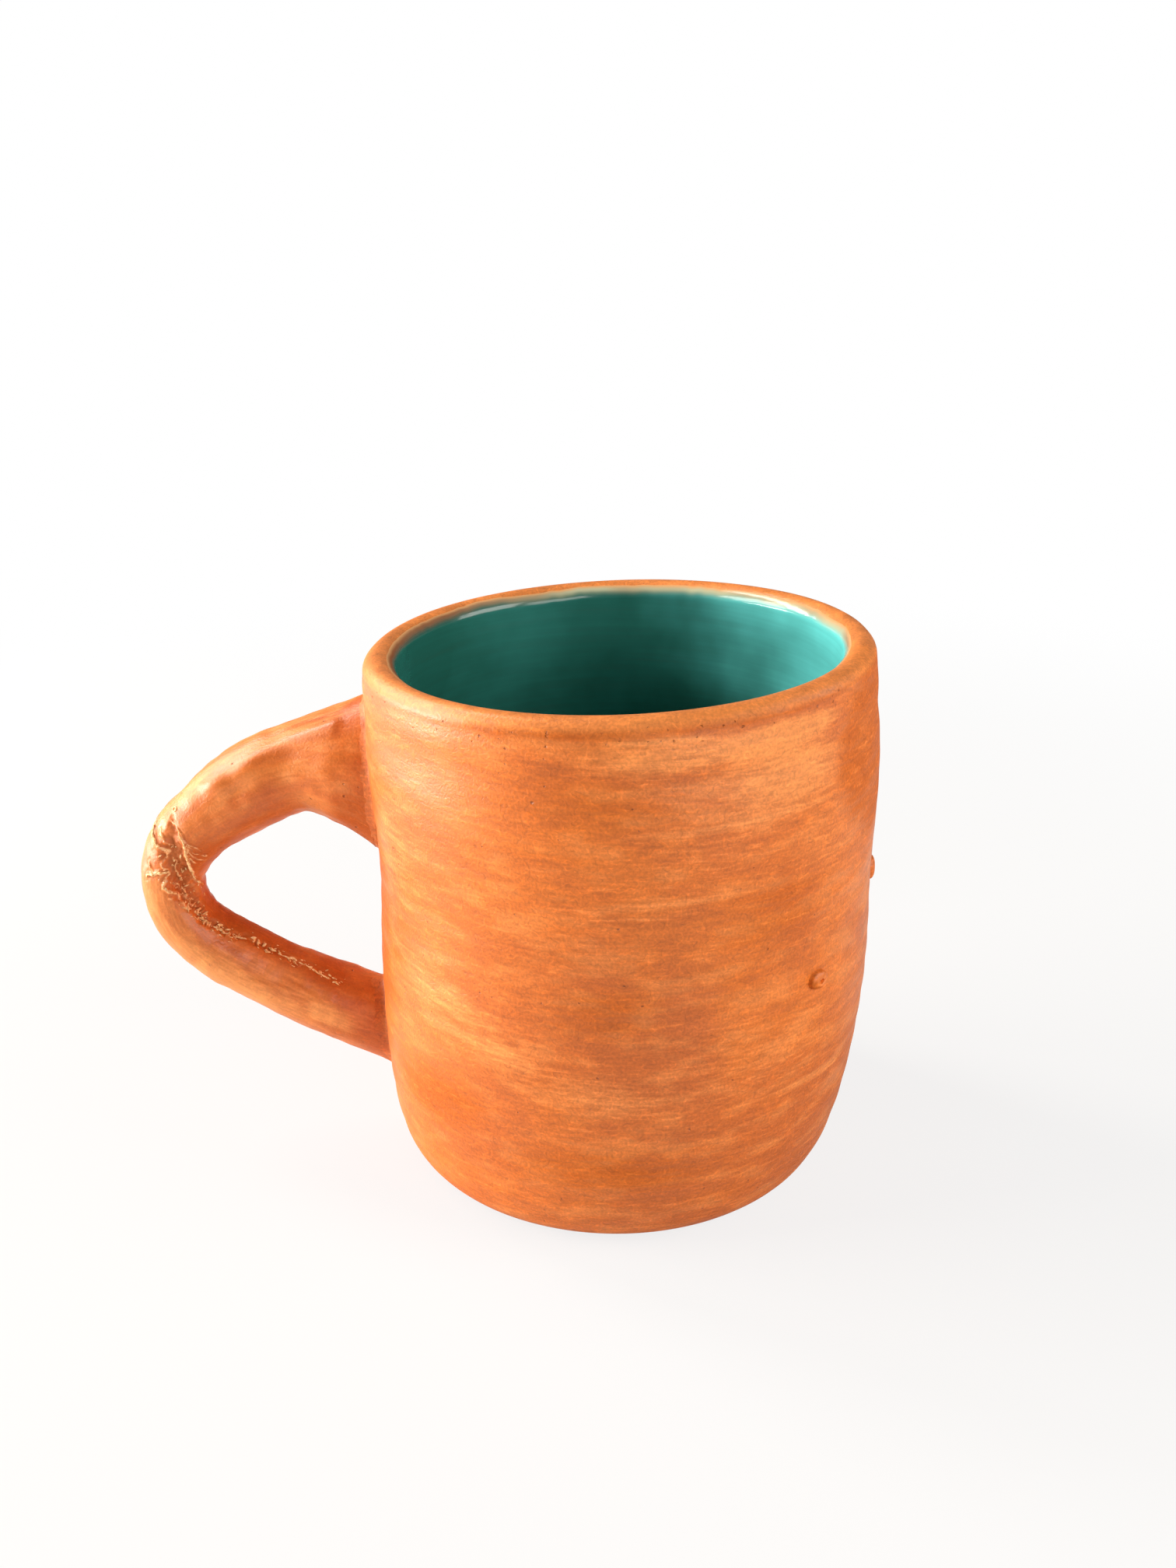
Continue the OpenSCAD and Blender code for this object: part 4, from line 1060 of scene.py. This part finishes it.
thin, long = 1 / turquoise["streakWidth"], 1 / turquoise["streakLength"]
mapped = add("Mapping", {
    "Vector": mm, "Rotation": (0, turquoise["streakTilt"], 0), "Scale": (long, long, thin)})
streak = add("TexNoise", {"Vector": mapped, "Scale": 1.0, "Detail": 3.0})
cloudShare = add("MapRange", [cloud, *turquoise["cloudRange"]])
colour = add("Mix", {0: cloudShare, 6: turquoise["deep"], 7: turquoise["body"]}, **ofColours)
thinAndLitWay = Vector(turquoise["thinAndLitTo"]) - Vector(turquoise["thinAndLitFrom"])
fromThinAndLit = add("VectorMath", [mm, turquoise["thinAndLitFrom"]], operation="SUBTRACT")
alongThinAndLit = add("VectorMath", [fromThinAndLit, thinAndLitWay / thinAndLitWay.length_squared], operation="DOT_PRODUCT")
strayThinAndLit = add("Math", [cloud, turquoise["thinAndLitStray"], alongThinAndLit], operation="MULTIPLY_ADD")
thinAndLitShare = add("MapRange", [strayThinAndLit, *turquoise["thinAndLitRange"]], **smooth)
colour = add("Mix", {0: thinAndLitShare, 6: colour, 7: turquoise["pale"]}, **ofColours)
shade = add("MapRange", [streak, *turquoise["streakRange"]])
colour = add("VectorMath", {0: colour, "Scale": shade}, operation="SCALE")
coatShare = add("Attribute", attribute_name="coat").outputs["Fac"]
coatShare = add("Math", [streak, turquoise["streakStray"], coatShare], operation="MULTIPLY_ADD")
creamAndSheenShare = add("Attribute", attribute_name="creamAndSheen").outputs["Fac"]
thinColour = add("Mix", {0: creamAndSheenShare, 6: turquoise["brown"], 7: turquoise["thin"]}, **ofColours)
full = add("MapRange", [coatShare, *turquoise["fullRange"]], **smooth)
colour = add("Mix", {0: full, 6: thinColour, 7: colour}, **ofColours)
covered = add("MapRange", [coatShare, *turquoise["edgeRange"]], **smooth)
colour = add("Mix", {0: covered, 6: turquoise["edge"], 7: colour}, **ofColours)
height = add("Math", [streak, turquoise["streakDepth"]], operation="MULTIPLY")
bump = add("Bump", {"Height": height, "Distance": metresPerMm, "Strength": 1.0})
gloss = [add("Math", [creamAndSheenShare, *turquoise[key]], operation="MULTIPLY_ADD")
         for key in ("glossFrom", "glossTo")]
roughness = add("MapRange", [coatShare, *gloss, turquoise["thinRoughness"], turquoise["roughness"]])
shader = add("BsdfPrincipled", {
    "Base Color": colour, "Roughness": roughness, "IOR": turquoise["ior"], "Normal": bump})
add("OutputMaterial", {"Surface": shader})
print("materials made")

finishPiece(clayPot, brushedTerracotta, "terracotta", "clay_body")
finishPiece(glazeLining, turquoiseGlaze, "turquoise_glaze", "glaze_lining")
finishPiece(coilHandle, rolledTerracotta, "terracotta", "handle")
finishPiece(slipPieces["upper"], driedSlip, "slip", "upper_slip_joint")
finishPiece(slipPieces["lower"], driedSlip, "slip", "lower_slip_joint")
finishPiece(pipPieces["frontPip"], brushedTerracotta, "terracotta", "front_pip")
finishPiece(pipPieces["sidePip"], brushedTerracotta, "terracotta", "side_pip")
finishPiece(tearThreads, dryTornClay, "terracotta")
finishPiece(tearCrumbs, dryTornClay, "terracotta")
